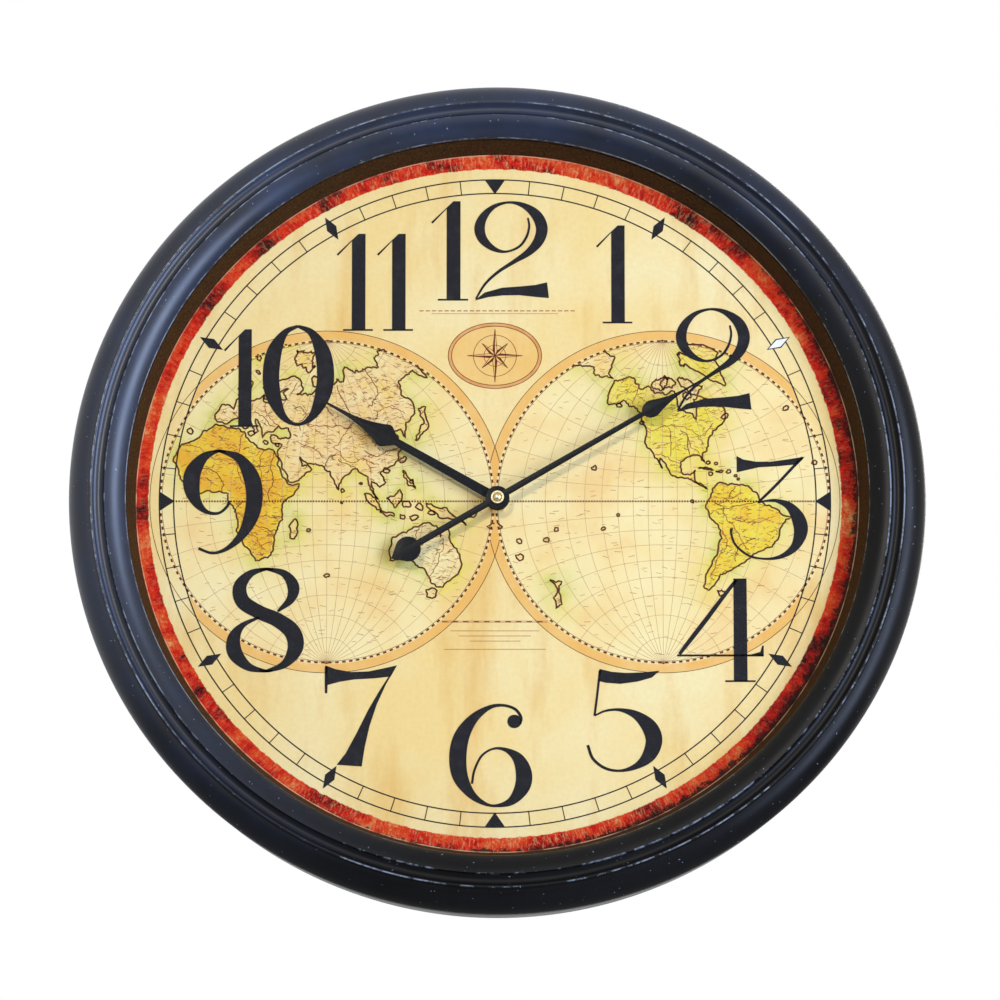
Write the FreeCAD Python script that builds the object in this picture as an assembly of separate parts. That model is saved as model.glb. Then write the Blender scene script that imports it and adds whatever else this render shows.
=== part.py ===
import FreeCAD, Part
import math
import os

# A round wall clock with a turned frame, a printed dial and a quartz movement.
# Millimetres. The clock is laid out on the bench first: x to the right, y up the dial and z from the
# wall towards the room, with the shaft on the z axis. Each piece is then stood upright, so that in the
# finished part the dial faces -Y, +Z is up, and the origin is where the shaft's axis meets the wall.

V = FreeCAD.Vector
ORIGIN = V(0, 0, 0)
UP = V(0, 0, 1)
FULL_TURN = 360.0

# Stack along the shaft, from the wall to the room
wall_gap = 2.5
case_depth = 16.0
board_thickness = 3.0
paper_thickness = 0.3
spacer_height = 10.2
glass_thickness = 2.0
crest_above_glass = 7.0

# Frame ring, seen in section
frame_radius = 203.0
moulding_width = 27.2
back_inset = 5.0
lip_overlap = 4.7
moulding_relief = 6.2
glass_clearance = 0.5
board_clearance = 0.3
rehaut_slope = 4.2
# The moulded face from the lip outwards: each point's share of the width, and of the relief below the crest
band_shares = ((0.0, 1.0), (0.17, 0.28), (0.375, 0.0))
cove_shares = ((0.375, 0.0), (0.46, 0.32), (0.577, 0.14))
bead_shares = ((0.577, 0.14), (0.613, 0.06), (0.647, 0.26))
round_shares = ((0.647, 0.26), (0.9, 0.95), (1.0, 2.0))

# Flat steel tabs, pressed into the frame's wall to hold the dial board
tab_count = 8
tab_width = 8.0
tab_length = 16.0
tab_thickness = 0.8
tab_bite = 7.0
tab_start = 22.5

# Keyhole hanger, let into the back of the frame at the top
hanger_length = 40.0
hanger_margin = 1.75
hanger_thickness = 1.2
hanger_depth = 1.0
keyhole_radius = 4.5
keyhole_below_centre = 1.7
keyhole_slot_radius = 2.3
keyhole_travel = 4.6
pocket_depth = 8.0
pocket_half_width = 5.2
pocket_margin = 0.2
hanger_screw_spacing = 31.0
hanger_screw_radius = 1.3
hanger_screw_head = 2.6
hanger_screw_length = 11.0

# Movement case
case_size = 56.0
case_wall = 1.2
case_corner = 3.0
bay_width = 14.8
partition = 1.0
cover_thickness = 1.2
cover_clearance = 0.15
neck_radius = 4.0
neck_clearance = 0.2
neck_proud = 0.5
notch_radius = 7.0

# Nut on the neck
hex_nut_flats = 9.6
hex_nut_height = 3.0

# Shafts and their running clearance
running = 0.05
arbor_radius = 1.5
pipe_wall = 1.0
spindle_radius = 0.45
pivot_length = 0.6
pivot_play = 0.1

# Hands
hub_radius = 5.7
hand_thickness = 0.6
hand_gap = 0.4
collet_height = 0.6
collet_radius = 3.6
hand_spacing = 1.5
hour_hand_angle = 300.2
minute_hand_angle = 59.2
hour_length = 99.0
hour_spade = 5.7
hour_shaft = 2.35
# Points along a hand: each one's share of the length, and of the shaft's or the blade's half width
hour_neck_share = (0.56, 0.78)
spade_shares = ((0.604, 0.86), (0.618, 1.0), (0.641, 0.93), (0.727, 0.44), (0.85, 0.16), (1.0, 0.05))
minute_length = 127.0
minute_leaf = 4.1
minute_shaft = 1.6
minute_neck_share = (0.634, 0.75)
leaf_shares = ((0.652, 0.86), (0.681, 1.0), (0.736, 0.47), (0.82, 0.12), (1.0, 0.08))
tail_reach = 49.3
tail_radius = 6.1
tail_point = 9.2
stud_radius = 1.1
cap_radius = 3.15
cap_skirt = 1.0
cap_height = 2.3
cap_dome_shares = (0.8, 0.67)
cap_bore_depth = 1.6

# Gears: teeth, and the modules from which every distance between shafts follows
tooth_addendum_share = 0.75
tooth_dedendum_share = 1.05
tooth_root_share = 0.29
tooth_tip_share = 0.11
cannon_teeth = 8
reverse_teeth = 24
reverse_module = 0.5
reverse_leaves = 6
hour_teeth = 24
setting_teeth = 10
reverse_direction = 150.0
wheel_thickness = 0.8
rim_clearance = 0.3

# Setting knob
knob_radius = 5.0
knob_height = 1.8
knob_ribs = 16
knob_rib_depth = 0.5
knob_recess = 0.1
knob_clearance = 0.3
knob_shaft = 1.2
cup_wall = 0.8

# Cell and its contacts
cell_radius = 7.25
cell_length = 50.5
cell_nub_radius = 2.75
cell_nub_length = 1.3
contact_thickness = 0.4
contact_width = 9.0

# One overrun serves every cut
over = 1.0

# The ring's other radii, and the strip of its back that takes the hanger
lip_radius = frame_radius - moulding_width
cavity_radius = lip_radius + lip_overlap
board_radius = cavity_radius - board_clearance
back_radius = frame_radius - back_inset
hanger_centre = (cavity_radius + back_radius) / 2
hanger_width = back_radius - cavity_radius - 2 * hanger_margin

# Heights that follow from the stack
case_back = wall_gap
case_front = case_back + case_depth
board_back = case_front
board_front = board_back + board_thickness
dial_front = board_front + paper_thickness
glass_back = dial_front + spacer_height
glass_front = glass_back + glass_thickness
crest = glass_front + crest_above_glass
neck_length = board_thickness + paper_thickness + hex_nut_height + neck_proud
neck_top = case_front + neck_length
pipe_radius = arbor_radius + running + pipe_wall
hour_plate = neck_top + hand_gap + collet_height
hour_top = hour_plate + hand_thickness
minute_plate = hour_top + hand_spacing
minute_top = minute_plate + hand_thickness

# Heights inside the movement
chamber_front = case_front - case_wall
cover_front = case_back + cover_thickness
hour_low = chamber_front - wheel_thickness - rim_clearance
reverse_low = hour_low - wheel_thickness - 2 * rim_clearance
arbor_low = cover_front + pivot_play
spindle_low = cover_front - pivot_length
spindle_high = chamber_front + pivot_length
cup_floor = case_back + knob_recess + knob_height + knob_clearance
keyhole_y = hanger_centre - keyhole_below_centre
saddle_y = keyhole_y + keyhole_travel
hanger_front = hanger_depth + hanger_thickness

# Movement case in plan
case_half = case_size / 2
inner_half = case_half - case_wall
bay_top = -inner_half + bay_width
chamber_bottom = bay_top + partition


def polar(distance, degrees, start=(0, 0)):
    """The point at a distance and direction from a starting point."""
    turn = math.radians(degrees)
    return (start[0] + distance * math.cos(turn), start[1] + distance * math.sin(turn))


def gear_distance(module, teeth_a, teeth_b):
    """How far apart the shafts of two meshed gears stand."""
    return module * (teeth_a + teeth_b) / 2


def mesh_phase(teeth_a, phase_a, teeth_b, direction):
    """The phase in degrees that puts gear b, seen from a in that direction, in mesh with gear a."""
    pitch_a = FULL_TURN / teeth_a
    pitch_b = FULL_TURN / teeth_b
    ahead = ((direction - phase_a) / pitch_a) % 1
    return direction + FULL_TURN / 2 - pitch_b * (1 / 2 - ahead)


# Where each shaft stands
reverse_distance = gear_distance(reverse_module, cannon_teeth, reverse_teeth)
hour_module = 2 * reverse_distance / (hour_teeth + reverse_leaves)
centre_place = (0, 0)
reverse_place = polar(reverse_distance, reverse_direction)
knob_place = polar(gear_distance(reverse_module, reverse_teeth, setting_teeth),
                   reverse_direction, reverse_place)

# Gear phases: each body's first gear is at zero, and the next one is turned to mesh with it
reverse_phase = mesh_phase(cannon_teeth, 0, reverse_teeth, reverse_direction)
setting_phase = mesh_phase(reverse_teeth, reverse_phase, setting_teeth, reverse_direction)
hour_phase = mesh_phase(reverse_leaves, 0, hour_teeth, reverse_direction + FULL_TURN / 2)

# The gear chamber in plan, as large as the hour wheel and the knob's cup need
hour_tip = hour_module * (hour_teeth / 2 + tooth_addendum_share)
cup_outer = knob_radius + knob_clearance + cup_wall
chamber_right = hour_tip + 2 * rim_clearance
chamber_left = knob_place[0] - cup_outer - 2 * rim_clearance
chamber_low_y = -chamber_right
chamber_high_y = knob_place[1] + cup_outer + 2 * rim_clearance


def disc(radius, low, high, place=(0, 0)):
    """A round solid between two heights."""
    return Part.makeCylinder(radius, high - low, V(place[0], place[1], low))


def tube(outer, inner, low, high, place=(0, 0)):
    """A round solid with a bore through it."""
    bore = disc(inner, low - over, high + over, place)
    return disc(outer, low, high, place).cut(bore)


def block(x0, y0, x1, y1, low, high):
    """A straight block between two corners and two heights."""
    return Part.makeBox(x1 - x0, y1 - y0, high - low, V(x0, y0, low))


def rounded_block(x0, y0, x1, y1, low, high, corner):
    """A block whose four upright edges are rounded."""
    box = block(x0, y0, x1, y1, low, high)
    upright = [e for e in box.Edges if abs(e.tangentAt(e.FirstParameter).z) > 1 / 2]
    return box.makeFillet(corner, upright)


def slab(wires, low, high):
    """A flat solid from one closed outline, or from several where the rest are holes."""
    face = Part.Face(wires)
    face.translate(V(0, 0, low))
    return face.extrude(V(0, 0, high - low))


def outline(points):
    """A closed wire of straight runs through points in plan."""
    return Part.makePolygon([V(x, y, 0) for x, y in points] + [V(points[0][0], points[0][1], 0)])


def arc(start, middle, end):
    """One edge, an arc through three points in plan."""
    return Part.Arc(V(start[0], start[1], 0), V(middle[0], middle[1], 0), V(end[0], end[1], 0)).toShape()


def line(start, end):
    """One straight edge between two points in plan."""
    return Part.LineSegment(V(start[0], start[1], 0), V(end[0], end[1], 0)).toShape()


def stretch(three, steps):
    """Points along the arc through three points, in a few equal steps, without the last one."""
    curve = Part.Arc(*[V(x, y, 0) for x, y in three])
    return [(p.x, p.y) for p in curve.discretize(steps + 1)[:-1]]


def turned(points):
    """A solid of revolution about the shaft, from an outline of radius and height."""
    corners = [V(x, 0, z) for x, z in points]
    return Part.Face(Part.makePolygon(corners + corners[:1])).revolve(ORIGIN, UP, FULL_TURN)


def mirrored(edges):
    """The edges again on the other side of the x axis."""
    return [e.mirror(ORIGIN, V(0, 1, 0)) for e in edges]


def fuse_all(solids):
    """One solid from several that touch or overlap."""
    whole = solids[0].multiFuse(solids[1:])
    return whole.removeSplitter()


def gear(teeth, module, phase, low, high, place):
    """A gear with straight-flanked teeth, wide at the root and narrow at the tip."""
    pitch_radius = module * teeth / 2
    root = pitch_radius - tooth_dedendum_share * module
    tip = pitch_radius + tooth_addendum_share * module
    pitch = FULL_TURN / teeth
    points = []
    for tooth in range(teeth):
        middle = phase + tooth * pitch
        points.append(polar(root, middle - tooth_root_share * pitch, place))
        points.append(polar(tip, middle - tooth_tip_share * pitch, place))
        points.append(polar(tip, middle + tooth_tip_share * pitch, place))
        points.append(polar(root, middle + tooth_root_share * pitch, place))
    return slab([outline(points)], low, high)


def moulded(shares):
    """Points on the moulded face from their shares of its width and relief."""
    return [(lip_radius + x * moulding_width, crest - z * moulding_relief) for x, z in shares]


def make_frame_ring():
    """The turned ring: lip, convex band, cove, bead, quarter round and a side that leans in to the back."""
    points = [(cavity_radius, 0), (cavity_radius, glass_front), (lip_radius, glass_front)]
    points += stretch(moulded(band_shares), 3)
    points += stretch(moulded(cove_shares), 2)
    points += stretch(moulded(bead_shares), 2)
    points += stretch(moulded(round_shares), 2)
    points += moulded(round_shares)[-1:]
    points += [(back_radius, 0)]
    recess = hanger_recess(0)
    ring = turned(points).cut(recess.fuse(hanger_pocket()))
    return ring.cut(Part.makeCompound(hanger_screws() + make_board_tabs()))


def hanger_recess(low):
    """The room for the hanger plate and its screw heads, from a height to the plate's front."""
    half = hanger_length / 2
    return block(-half, hanger_centre - hanger_width / 2, half, hanger_centre + hanger_width / 2,
                 low, hanger_front)


def hanger_pocket():
    """The room behind the plate for the head of the wall screw, as it drops in and rides up."""
    low = keyhole_y - keyhole_radius - pocket_margin
    high = saddle_y + keyhole_radius
    return block(-pocket_half_width, low, pocket_half_width, high,
                 hanger_front, hanger_front + pocket_depth)


def hanger_screws():
    """Two screws whose heads lie flush in the plate."""
    screws = []
    for side in (-1, 1):
        x = side * hanger_screw_spacing / 2
        head = disc(hanger_screw_head, hanger_depth, hanger_front, (x, hanger_centre))
        shank = disc(hanger_screw_radius, hanger_front, hanger_screw_length, (x, hanger_centre))
        screws.append(head.fuse(shank).removeSplitter())
    return screws


def make_hanger_plate():
    """A steel plate with a keyhole: a round hole with a slot above it."""
    plate = hanger_recess(hanger_depth)
    low = hanger_depth - over
    high = hanger_front + over
    hole = disc(keyhole_radius, low, high, (0, keyhole_y))
    slot = block(-keyhole_slot_radius, keyhole_y, keyhole_slot_radius, saddle_y, low, high)
    saddle = disc(keyhole_slot_radius, low, high, (0, saddle_y))
    return plate.cut(fuse_all([hole, slot, saddle])).cut(Part.makeCompound(hanger_screws()))


def make_glass_pane():
    """A flat round pane that lies against the lip."""
    return disc(cavity_radius - glass_clearance, glass_back, glass_front)


def make_spacer_ring():
    """The ring between dial and glass; its inner face leans outwards towards the glass."""
    return turned([(lip_radius - rehaut_slope, dial_front), (board_radius, dial_front),
                   (board_radius, glass_back), (lip_radius, glass_back)])


def make_board_tabs():
    """Flat tabs, half in slits in the frame's wall and half on the back of the board."""
    outer = cavity_radius + tab_bite
    low = board_back - tab_thickness
    tab = block(outer - tab_length, -tab_width / 2, outer, tab_width / 2, low, board_back)
    tabs = []
    for number in range(tab_count):
        copy = tab.copy()
        copy.rotate(ORIGIN, UP, tab_start + number * FULL_TURN / tab_count)
        tabs.append(copy)
    return tabs


def make_dial_board():
    """A round board with a hole for the neck."""
    return tube(board_radius, neck_radius + neck_clearance, board_back, board_front)


def make_dial_paper():
    """The printed sheet on the board."""
    return tube(board_radius, neck_radius + neck_clearance, board_front, dial_front)


def make_movement_case():
    """The front of the movement: gear chamber, cell bay and the threaded neck."""
    shell = rounded_block(-case_half, -case_half, case_half, case_half, case_back, case_front, case_corner)
    corner = case_corner - case_wall
    step = rounded_block(-inner_half, chamber_bottom, inner_half, inner_half,
                         case_back - over, cover_front, corner)
    chamber = rounded_block(chamber_left, chamber_low_y, chamber_right, chamber_high_y,
                            case_back - over, chamber_front, corner)
    bay = rounded_block(-inner_half, -inner_half, inner_half, bay_top,
                        case_back - over, chamber_front, corner)
    shell = shell.cut(Part.makeCompound([step.fuse(chamber), bay]))
    shell = shell.fuse(disc(neck_radius, chamber_front, neck_top)).removeSplitter()
    bore = disc(pipe_radius + running, chamber_front - over, neck_top + over)
    pivot = disc(spindle_radius + running, chamber_front - over, spindle_high + pivot_play, reverse_place)
    notch = Part.makeCylinder(notch_radius, case_wall + 2 * over,
                              V(0, -case_half - over, case_back), V(0, 1, 0))
    return shell.cut(Part.makeCompound([bore, pivot, notch]))


def make_movement_cover():
    """The back cover, with a pivot hole and a cup for the knob."""
    edge = inner_half - cover_clearance
    plate = rounded_block(-edge, chamber_bottom + cover_clearance, edge, edge,
                          case_back, cover_front, case_corner - case_wall)
    whole = fuse_all([plate, disc(cup_outer, case_back, cup_floor + cup_wall, knob_place)])
    recess = disc(cup_outer - cup_wall, case_back - over, cup_floor, knob_place)
    bearing = disc(knob_shaft + running, case_back, cup_floor + cup_wall + over, knob_place)
    pivot = disc(spindle_radius + running, spindle_low - pivot_play, cover_front + over, reverse_place)
    return whole.cut(Part.makeCompound([recess, bearing, pivot]))


def make_hex_nut():
    """The nut that clamps the board between itself and the movement."""
    low = dial_front
    corner = hex_nut_flats / math.sqrt(3)
    points = [polar(corner, FULL_TURN * n / 6) for n in range(6)]
    return slab([outline(points)], low, low + hex_nut_height).cut(
        disc(neck_radius, low - over, low + hex_nut_height + over))


def make_contact(side):
    """A spring plate at one end of the cell's bay."""
    ends = sorted((side * (inner_half - contact_thickness), side * inner_half))
    middle = (-inner_half + bay_top) / 2
    half = contact_width / 2
    return block(ends[0], middle - half, ends[1], middle + half, case_back + case_wall, chamber_front)


def along(length, half_width, shares):
    """Points on one side of a hand from their shares of its length and half width."""
    return [(x * length, y * half_width) for x, y in shares]


def hour_side():
    """One side of the hour hand's outline: tapered shaft, barbed spade and drawn-out tip."""
    neck = along(hour_length, hour_shaft, [hour_neck_share])[0]
    start, barb, end, hollow, needle, tip = along(hour_length, hour_spade, spade_shares)
    return [line((0, hour_shaft), neck), line(neck, start), arc(start, barb, end),
            arc(end, hollow, needle), line(needle, tip)]


def minute_side():
    """One side of the minute hand's outline: long shaft, round-based leaf and needle."""
    neck = along(minute_length, minute_shaft, [minute_neck_share])[0]
    swell, widest, hollow, needle, tip = along(minute_length, minute_leaf, leaf_shares)
    return [line((0, minute_shaft), neck), arc(neck, swell, widest), arc(widest, hollow, needle),
            line(needle, tip)]


def blade(side, low):
    """The flat blade between one side of an outline and its mirror image."""
    start = side[0].Vertexes[0].Point
    tip = side[-1].Vertexes[-1].Point
    closing = [line((tip.x, tip.y), (tip.x, -tip.y)), line((start.x, -start.y), (start.x, start.y))]
    wire = Part.Wire(Part.__sortEdges__(side + mirrored(side) + closing))
    return slab([wire], low, low + hand_thickness)


def make_tail(low):
    """The counterweight: a shaft, a round disc and a small point beyond it."""
    high = low + hand_thickness
    shaft = block(-tail_reach, -minute_shaft, 0, minute_shaft, low, high)
    round_part = disc(tail_radius, low, high, (-tail_reach, 0))
    touch = 2 * tail_radius / 3
    reach = math.sqrt(tail_radius ** 2 - touch ** 2)
    point = slab([outline([(-tail_reach - reach, touch), (-tail_reach - tail_point, 0),
                           (-tail_reach - reach, -touch), (-tail_reach, 0)])], low, high)
    return [shaft, round_part, point]


def set_to(solid, clock_angle):
    """Turn a hand made along the x axis to a clock angle, counted clockwise from twelve."""
    solid.rotate(ORIGIN, UP, FULL_TURN / 4 - clock_angle)
    return solid


def make_hour_hand():
    """The hour hand on its collet."""
    plate = fuse_all([blade(hour_side(), hour_plate), disc(hub_radius, hour_plate, hour_top),
                      disc(collet_radius, hour_plate - collet_height, hour_plate)])
    bore = disc(pipe_radius, hour_plate - collet_height - over, hour_top + over)
    return set_to(plate.cut(bore), hour_hand_angle)


def make_minute_hand():
    """The minute hand with its tail, which sits on the arbor's shoulder."""
    plate = fuse_all([blade(minute_side(), minute_plate), disc(hub_radius, minute_plate, minute_top)]
                     + make_tail(minute_plate))
    hole = disc(stud_radius, minute_plate - over, minute_top + over)
    return set_to(plate.cut(hole), minute_hand_angle)


def make_cap_nut():
    """The small domed nut that holds the minute hand."""
    shoulder = (cap_radius, minute_top + cap_skirt)
    crown = (0, minute_top + cap_height)
    side_share, rise_share = cap_dome_shares
    side = (side_share * cap_radius, minute_top + cap_skirt + rise_share * (cap_height - cap_skirt))
    points = [(0, minute_top), (cap_radius, minute_top)] + stretch([shoulder, side, crown], 2) + [crown]
    return turned(points).cut(disc(stud_radius, minute_top - over, minute_top + cap_bore_depth))


def make_minute_arbor():
    """The shaft of the minute hand, with the cannon pinion and the stud for the nut."""
    shaft = disc(arbor_radius, arbor_low, minute_plate)
    stud = disc(stud_radius, minute_plate, minute_top + cap_bore_depth)
    pinion = gear(cannon_teeth, reverse_module, 0, reverse_low - rim_clearance / 2,
                  hour_low - rim_clearance, centre_place)
    return fuse_all([shaft, stud, pinion])


def make_hour_wheel():
    """The hour wheel and the pipe that carries the hour hand through the neck."""
    wheel = gear(hour_teeth, hour_module, hour_phase, hour_low, hour_low + wheel_thickness, centre_place)
    pipe = disc(pipe_radius, hour_low, hour_top)
    bore = disc(arbor_radius + running, hour_low - over, hour_top + over)
    return fuse_all([wheel, pipe]).cut(bore)


def make_reverse_wheel():
    """The wheel that steps the minute hand's turn down, with leaves for the hour wheel."""
    low = reverse_low
    wheel = gear(reverse_teeth, reverse_module, reverse_phase, low, low + wheel_thickness, reverse_place)
    leaves = gear(reverse_leaves, hour_module, 0, low + wheel_thickness, chamber_front - pivot_play,
                  reverse_place)
    shaft = disc(spindle_radius, spindle_low, spindle_high, reverse_place)
    return fuse_all([wheel, leaves, shaft])


def make_setting_gear():
    """The small gear on the inner end of the knob's shaft."""
    low = reverse_low - rim_clearance / 2
    blank = gear(setting_teeth, reverse_module, setting_phase, low, low + wheel_thickness + rim_clearance,
                 knob_place)
    return blank.cut(disc(knob_shaft, low - over, chamber_front, knob_place))


def make_setting_knob():
    """The knob in its cup, with a ribbed rim, and its shaft up to the front wall."""
    low = case_back + knob_recess
    high = low + knob_height
    points = []
    for number in range(2 * knob_ribs):
        reach = knob_radius - (number % 2) * knob_rib_depth
        points.append(polar(reach, FULL_TURN * number / (2 * knob_ribs), knob_place))
    knob = slab([outline(points)], low, high)
    shaft = disc(knob_shaft, high, chamber_front - pivot_play, knob_place)
    return fuse_all([knob, shaft])


def make_battery():
    """One round cell, with its nub to the right."""
    middle_y = (-inner_half + bay_top) / 2
    middle_z = chamber_front - pivot_play - cell_radius
    start = V(-cell_length / 2, middle_y, middle_z)
    can = Part.makeCylinder(cell_radius, cell_length - cell_nub_length, start, V(1, 0, 0))
    nub_start = V(cell_length / 2 - cell_nub_length, middle_y, middle_z)
    nub = Part.makeCylinder(cell_nub_radius, cell_nub_length, nub_start, V(1, 0, 0))
    return fuse_all([can, nub])


def write(name, solids):
    """Stand a piece upright and write it to its own file."""
    parts = solids if isinstance(solids, list) else [solids]
    shape = Part.makeCompound(parts) if len(parts) > 1 else parts[0]
    shape.rotate(ORIGIN, V(1, 0, 0), FULL_TURN / 4)
    shape.exportStep("parts/" + name + ".step")
    volume = sum(s.Volume for s in shape.Solids)
    print(name, len(shape.Solids), "solids", round(volume, 1), "mm3")


os.makedirs("parts", exist_ok=True)

write("frame_ring", make_frame_ring())
write("glass_pane", make_glass_pane())
write("spacer_ring", make_spacer_ring())
write("dial_board", make_dial_board())
write("dial_paper", make_dial_paper())
write("board_tabs", make_board_tabs())
write("hanger_plate", make_hanger_plate())
write("hanger_screws", hanger_screws())
write("movement_case", make_movement_case())
write("movement_cover", make_movement_cover())
write("hex_nut", make_hex_nut())
write("contact_positive", make_contact(1))
write("contact_negative", make_contact(-1))
write("minute_hand", make_minute_hand())
write("minute_arbor", make_minute_arbor())
write("cap_nut", make_cap_nut())
write("hour_hand", make_hour_hand())
write("hour_wheel", make_hour_wheel())
write("reverse_wheel", make_reverse_wheel())
write("setting_knob", make_setting_knob())
write("setting_gear", make_setting_gear())
write("battery", make_battery())
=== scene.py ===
# %% [markdown]
# A round wall clock in Blender
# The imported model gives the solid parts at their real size. This lesson dresses them: it smooths the
# turned frame, prints the dial, bevels the hands and gives every part the finish of its real material.

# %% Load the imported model
import math
import random

import bmesh
import bpy
import numpy as np
from mathutils import Matrix, Vector, kdtree


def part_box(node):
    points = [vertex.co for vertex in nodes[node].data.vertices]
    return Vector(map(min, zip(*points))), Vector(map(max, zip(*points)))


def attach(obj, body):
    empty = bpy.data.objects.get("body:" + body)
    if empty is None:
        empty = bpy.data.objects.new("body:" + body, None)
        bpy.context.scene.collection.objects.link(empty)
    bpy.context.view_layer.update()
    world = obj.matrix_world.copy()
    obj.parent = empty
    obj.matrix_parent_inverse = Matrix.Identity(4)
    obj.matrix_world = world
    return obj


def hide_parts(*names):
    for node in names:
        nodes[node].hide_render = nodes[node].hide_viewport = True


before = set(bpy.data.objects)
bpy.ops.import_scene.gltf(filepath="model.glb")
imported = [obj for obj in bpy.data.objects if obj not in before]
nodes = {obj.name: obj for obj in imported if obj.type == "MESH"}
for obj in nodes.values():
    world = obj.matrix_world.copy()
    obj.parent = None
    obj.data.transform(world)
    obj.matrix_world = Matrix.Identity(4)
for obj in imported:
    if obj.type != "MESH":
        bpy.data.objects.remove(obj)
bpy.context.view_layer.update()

# %% [markdown]
# The dial is easiest to think of lying on a bench: x to the right, y up the dial and z out of the wall,
# in millimetres. One small matrix stands every mesh up in the room, where the dial faces -Y.

# %% Bench to room
MM = 0.001
STAND = Matrix.Scale(MM, 4) @ Matrix.Rotation(math.pi / 2, 4, "X")
TURN = 2 * math.pi


def reach(node, side):
    """The greatest or least height from the wall of a CAD node, in millimetres."""
    low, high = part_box(node)
    return -low[1] / MM if side == "front" else -high[1] / MM


def width(node):
    """The radius of a round CAD node, in millimetres."""
    low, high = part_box(node)
    return (high[0] - low[0]) / 2 / MM


frame_radius = width("frame_ring")
crest = reach("frame_ring", "front")
dial_front = reach("dial_paper", "front")
glass_front = reach("glass_pane", "front")
board_radius = width("dial_paper")
# The brown ring's inner wall is its nearest point to the shaft's axis
wall_radius = min(math.hypot(v.co.x, v.co.z) for v in nodes["spacer_ring"].data.vertices) / MM
print("frame radius", round(frame_radius, 1), "crest", round(crest, 1))
print("dial", round(dial_front, 1), "wall of the brown ring", round(wall_radius, 1))

# %% [markdown]
# Colours are written as the eye reads them, in sRGB hex, and turned to linear light once, here. One
# function adds a node, sets its values, makes its links and gives back one of its outputs. It serves every
# material and every Geometry Nodes tree. The kinds of node that come often get short names.

# %% Helpers for colours, nodes and objects
PLACE, NOISE, RAMP = "ShaderNodeTexCoord", "ShaderNodeTexNoise", "ShaderNodeValToRGB"
MATH, RANGE, VECTOR, MIX = "ShaderNodeMath", "ShaderNodeMapRange", "ShaderNodeVectorMath", "ShaderNodeMix"
SHADER, OUTPUT, BUMP = "ShaderNodeBsdfPrincipled", "ShaderNodeOutputMaterial", "ShaderNodeBump"


def colour(code):
    """A linear colour with alpha, from an sRGB hex value."""
    parts = [int(code[i:i + 2], 16) / 255 for i in (1, 3, 5)]
    return tuple(c / 12.92 if c <= 0.04045 else ((c + 0.055) / 1.055) ** 2.4 for c in parts) + (1.0,)


def add(tree, kind, values=None, out=0, stops=(), **settings):
    """Add a node and give back one output; a value that is a socket is linked, and any other is set."""
    node = tree.nodes.new(kind)
    for key, value in settings.items():
        setattr(node, key, value)
    for key, value in (values or {}).items():
        if isinstance(value, bpy.types.NodeSocket):
            tree.links.new(value, node.inputs[key])
        else:
            node.inputs[key].default_value = value
    for at, code in stops[1:-1]:
        node.color_ramp.elements.new(at)
    for i, (at, code) in enumerate(stops):
        node.color_ramp.elements[i].position = at
        node.color_ramp.elements[i].color = colour(code)
    return node.outputs[out] if len(node.outputs) else None


def new_material(name):
    """An empty material, and the tree to fill."""
    material = bpy.data.materials.new(name)
    material.use_nodes = True
    material.node_tree.nodes.clear()
    return material, material.node_tree


def linked(name, data):
    """A new object in the scene, from its data."""
    made = bpy.data.objects.new(name, data)
    bpy.context.collection.objects.link(made)
    return made


def evaluated(made):
    """The mesh of an object with its modifiers applied; the modifiers themselves go."""
    mesh = bpy.data.meshes.new_from_object(made.evaluated_get(bpy.context.evaluated_depsgraph_get()))
    made.modifiers.clear()
    return mesh


def around(centre, radius, angle):
    """The point at a distance and an angle from a centre."""
    return (centre[0] + radius * math.cos(angle), centre[1] + radius * math.sin(angle))


# %% [markdown]
# The clock is seen a little from below. A long lens six metres off keeps the rings nearly free of
# perspective, as in the photograph.

# %% Camera
camera_height_angle = math.radians(-15.3)
camera_distance = 6.0
picture_scale = 0.4736
picture_width = 1000
silhouette_height = 28.6
aim_offset = Vector((1.2, 0, -1.2)) * MM
camera_data = bpy.data.cameras.new("camera")
camera_data.sensor_width = 36.0
camera_data.lens = 36.0 * camera_distance / (picture_scale * picture_width * MM)
camera = linked("camera", camera_data)
back = Vector((0, -math.cos(camera_height_angle), math.sin(camera_height_angle)))
aim = Vector((0, -silhouette_height * MM, 0)) + aim_offset
camera.location = aim + back * camera_distance
camera.rotation_euler = (-back).to_track_quat("-Z", "Y").to_euler()
bpy.context.scene.camera = camera
print("lens", round(camera_data.lens, 1), "mm")

# %% [markdown]
# A studio picture of a wall clock: a window-like lamp at the upper left, whose light throws the hands'
# small shadow to the lower right, a tall soft lamp to the right, whose reflection lies as a long
# pale band on the left half of the moulding, a soft lamp behind for the back, and a dim room for the rest.
# The white ground is only what the camera and the reflections see.

# %% World, floor and lamps
scene = bpy.context.scene
scene.view_settings.view_transform = "Standard"
world = bpy.data.worlds.new("studio")
scene.world = world
world.use_nodes = True
sky = world.node_tree
sky.nodes.clear()
seen = 0.0
for ray in ("Is Camera Ray", "Is Glossy Ray", "Is Transmission Ray"):
    seen = add(sky, MATH, {0: seen, 1: add(sky, "ShaderNodeLightPath", out=ray)}, operation="MAXIMUM")
room = add(sky, "ShaderNodeBackground", {"Color": colour("#f4f2ee"), "Strength": 0.22})
white = add(sky, "ShaderNodeBackground", {"Color": colour("#ffffff"), "Strength": 1.0})
both = add(sky, "ShaderNodeMixShader", {0: seen, 1: room, 2: white})
add(sky, "ShaderNodeOutputWorld", {"Surface": both})


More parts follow.
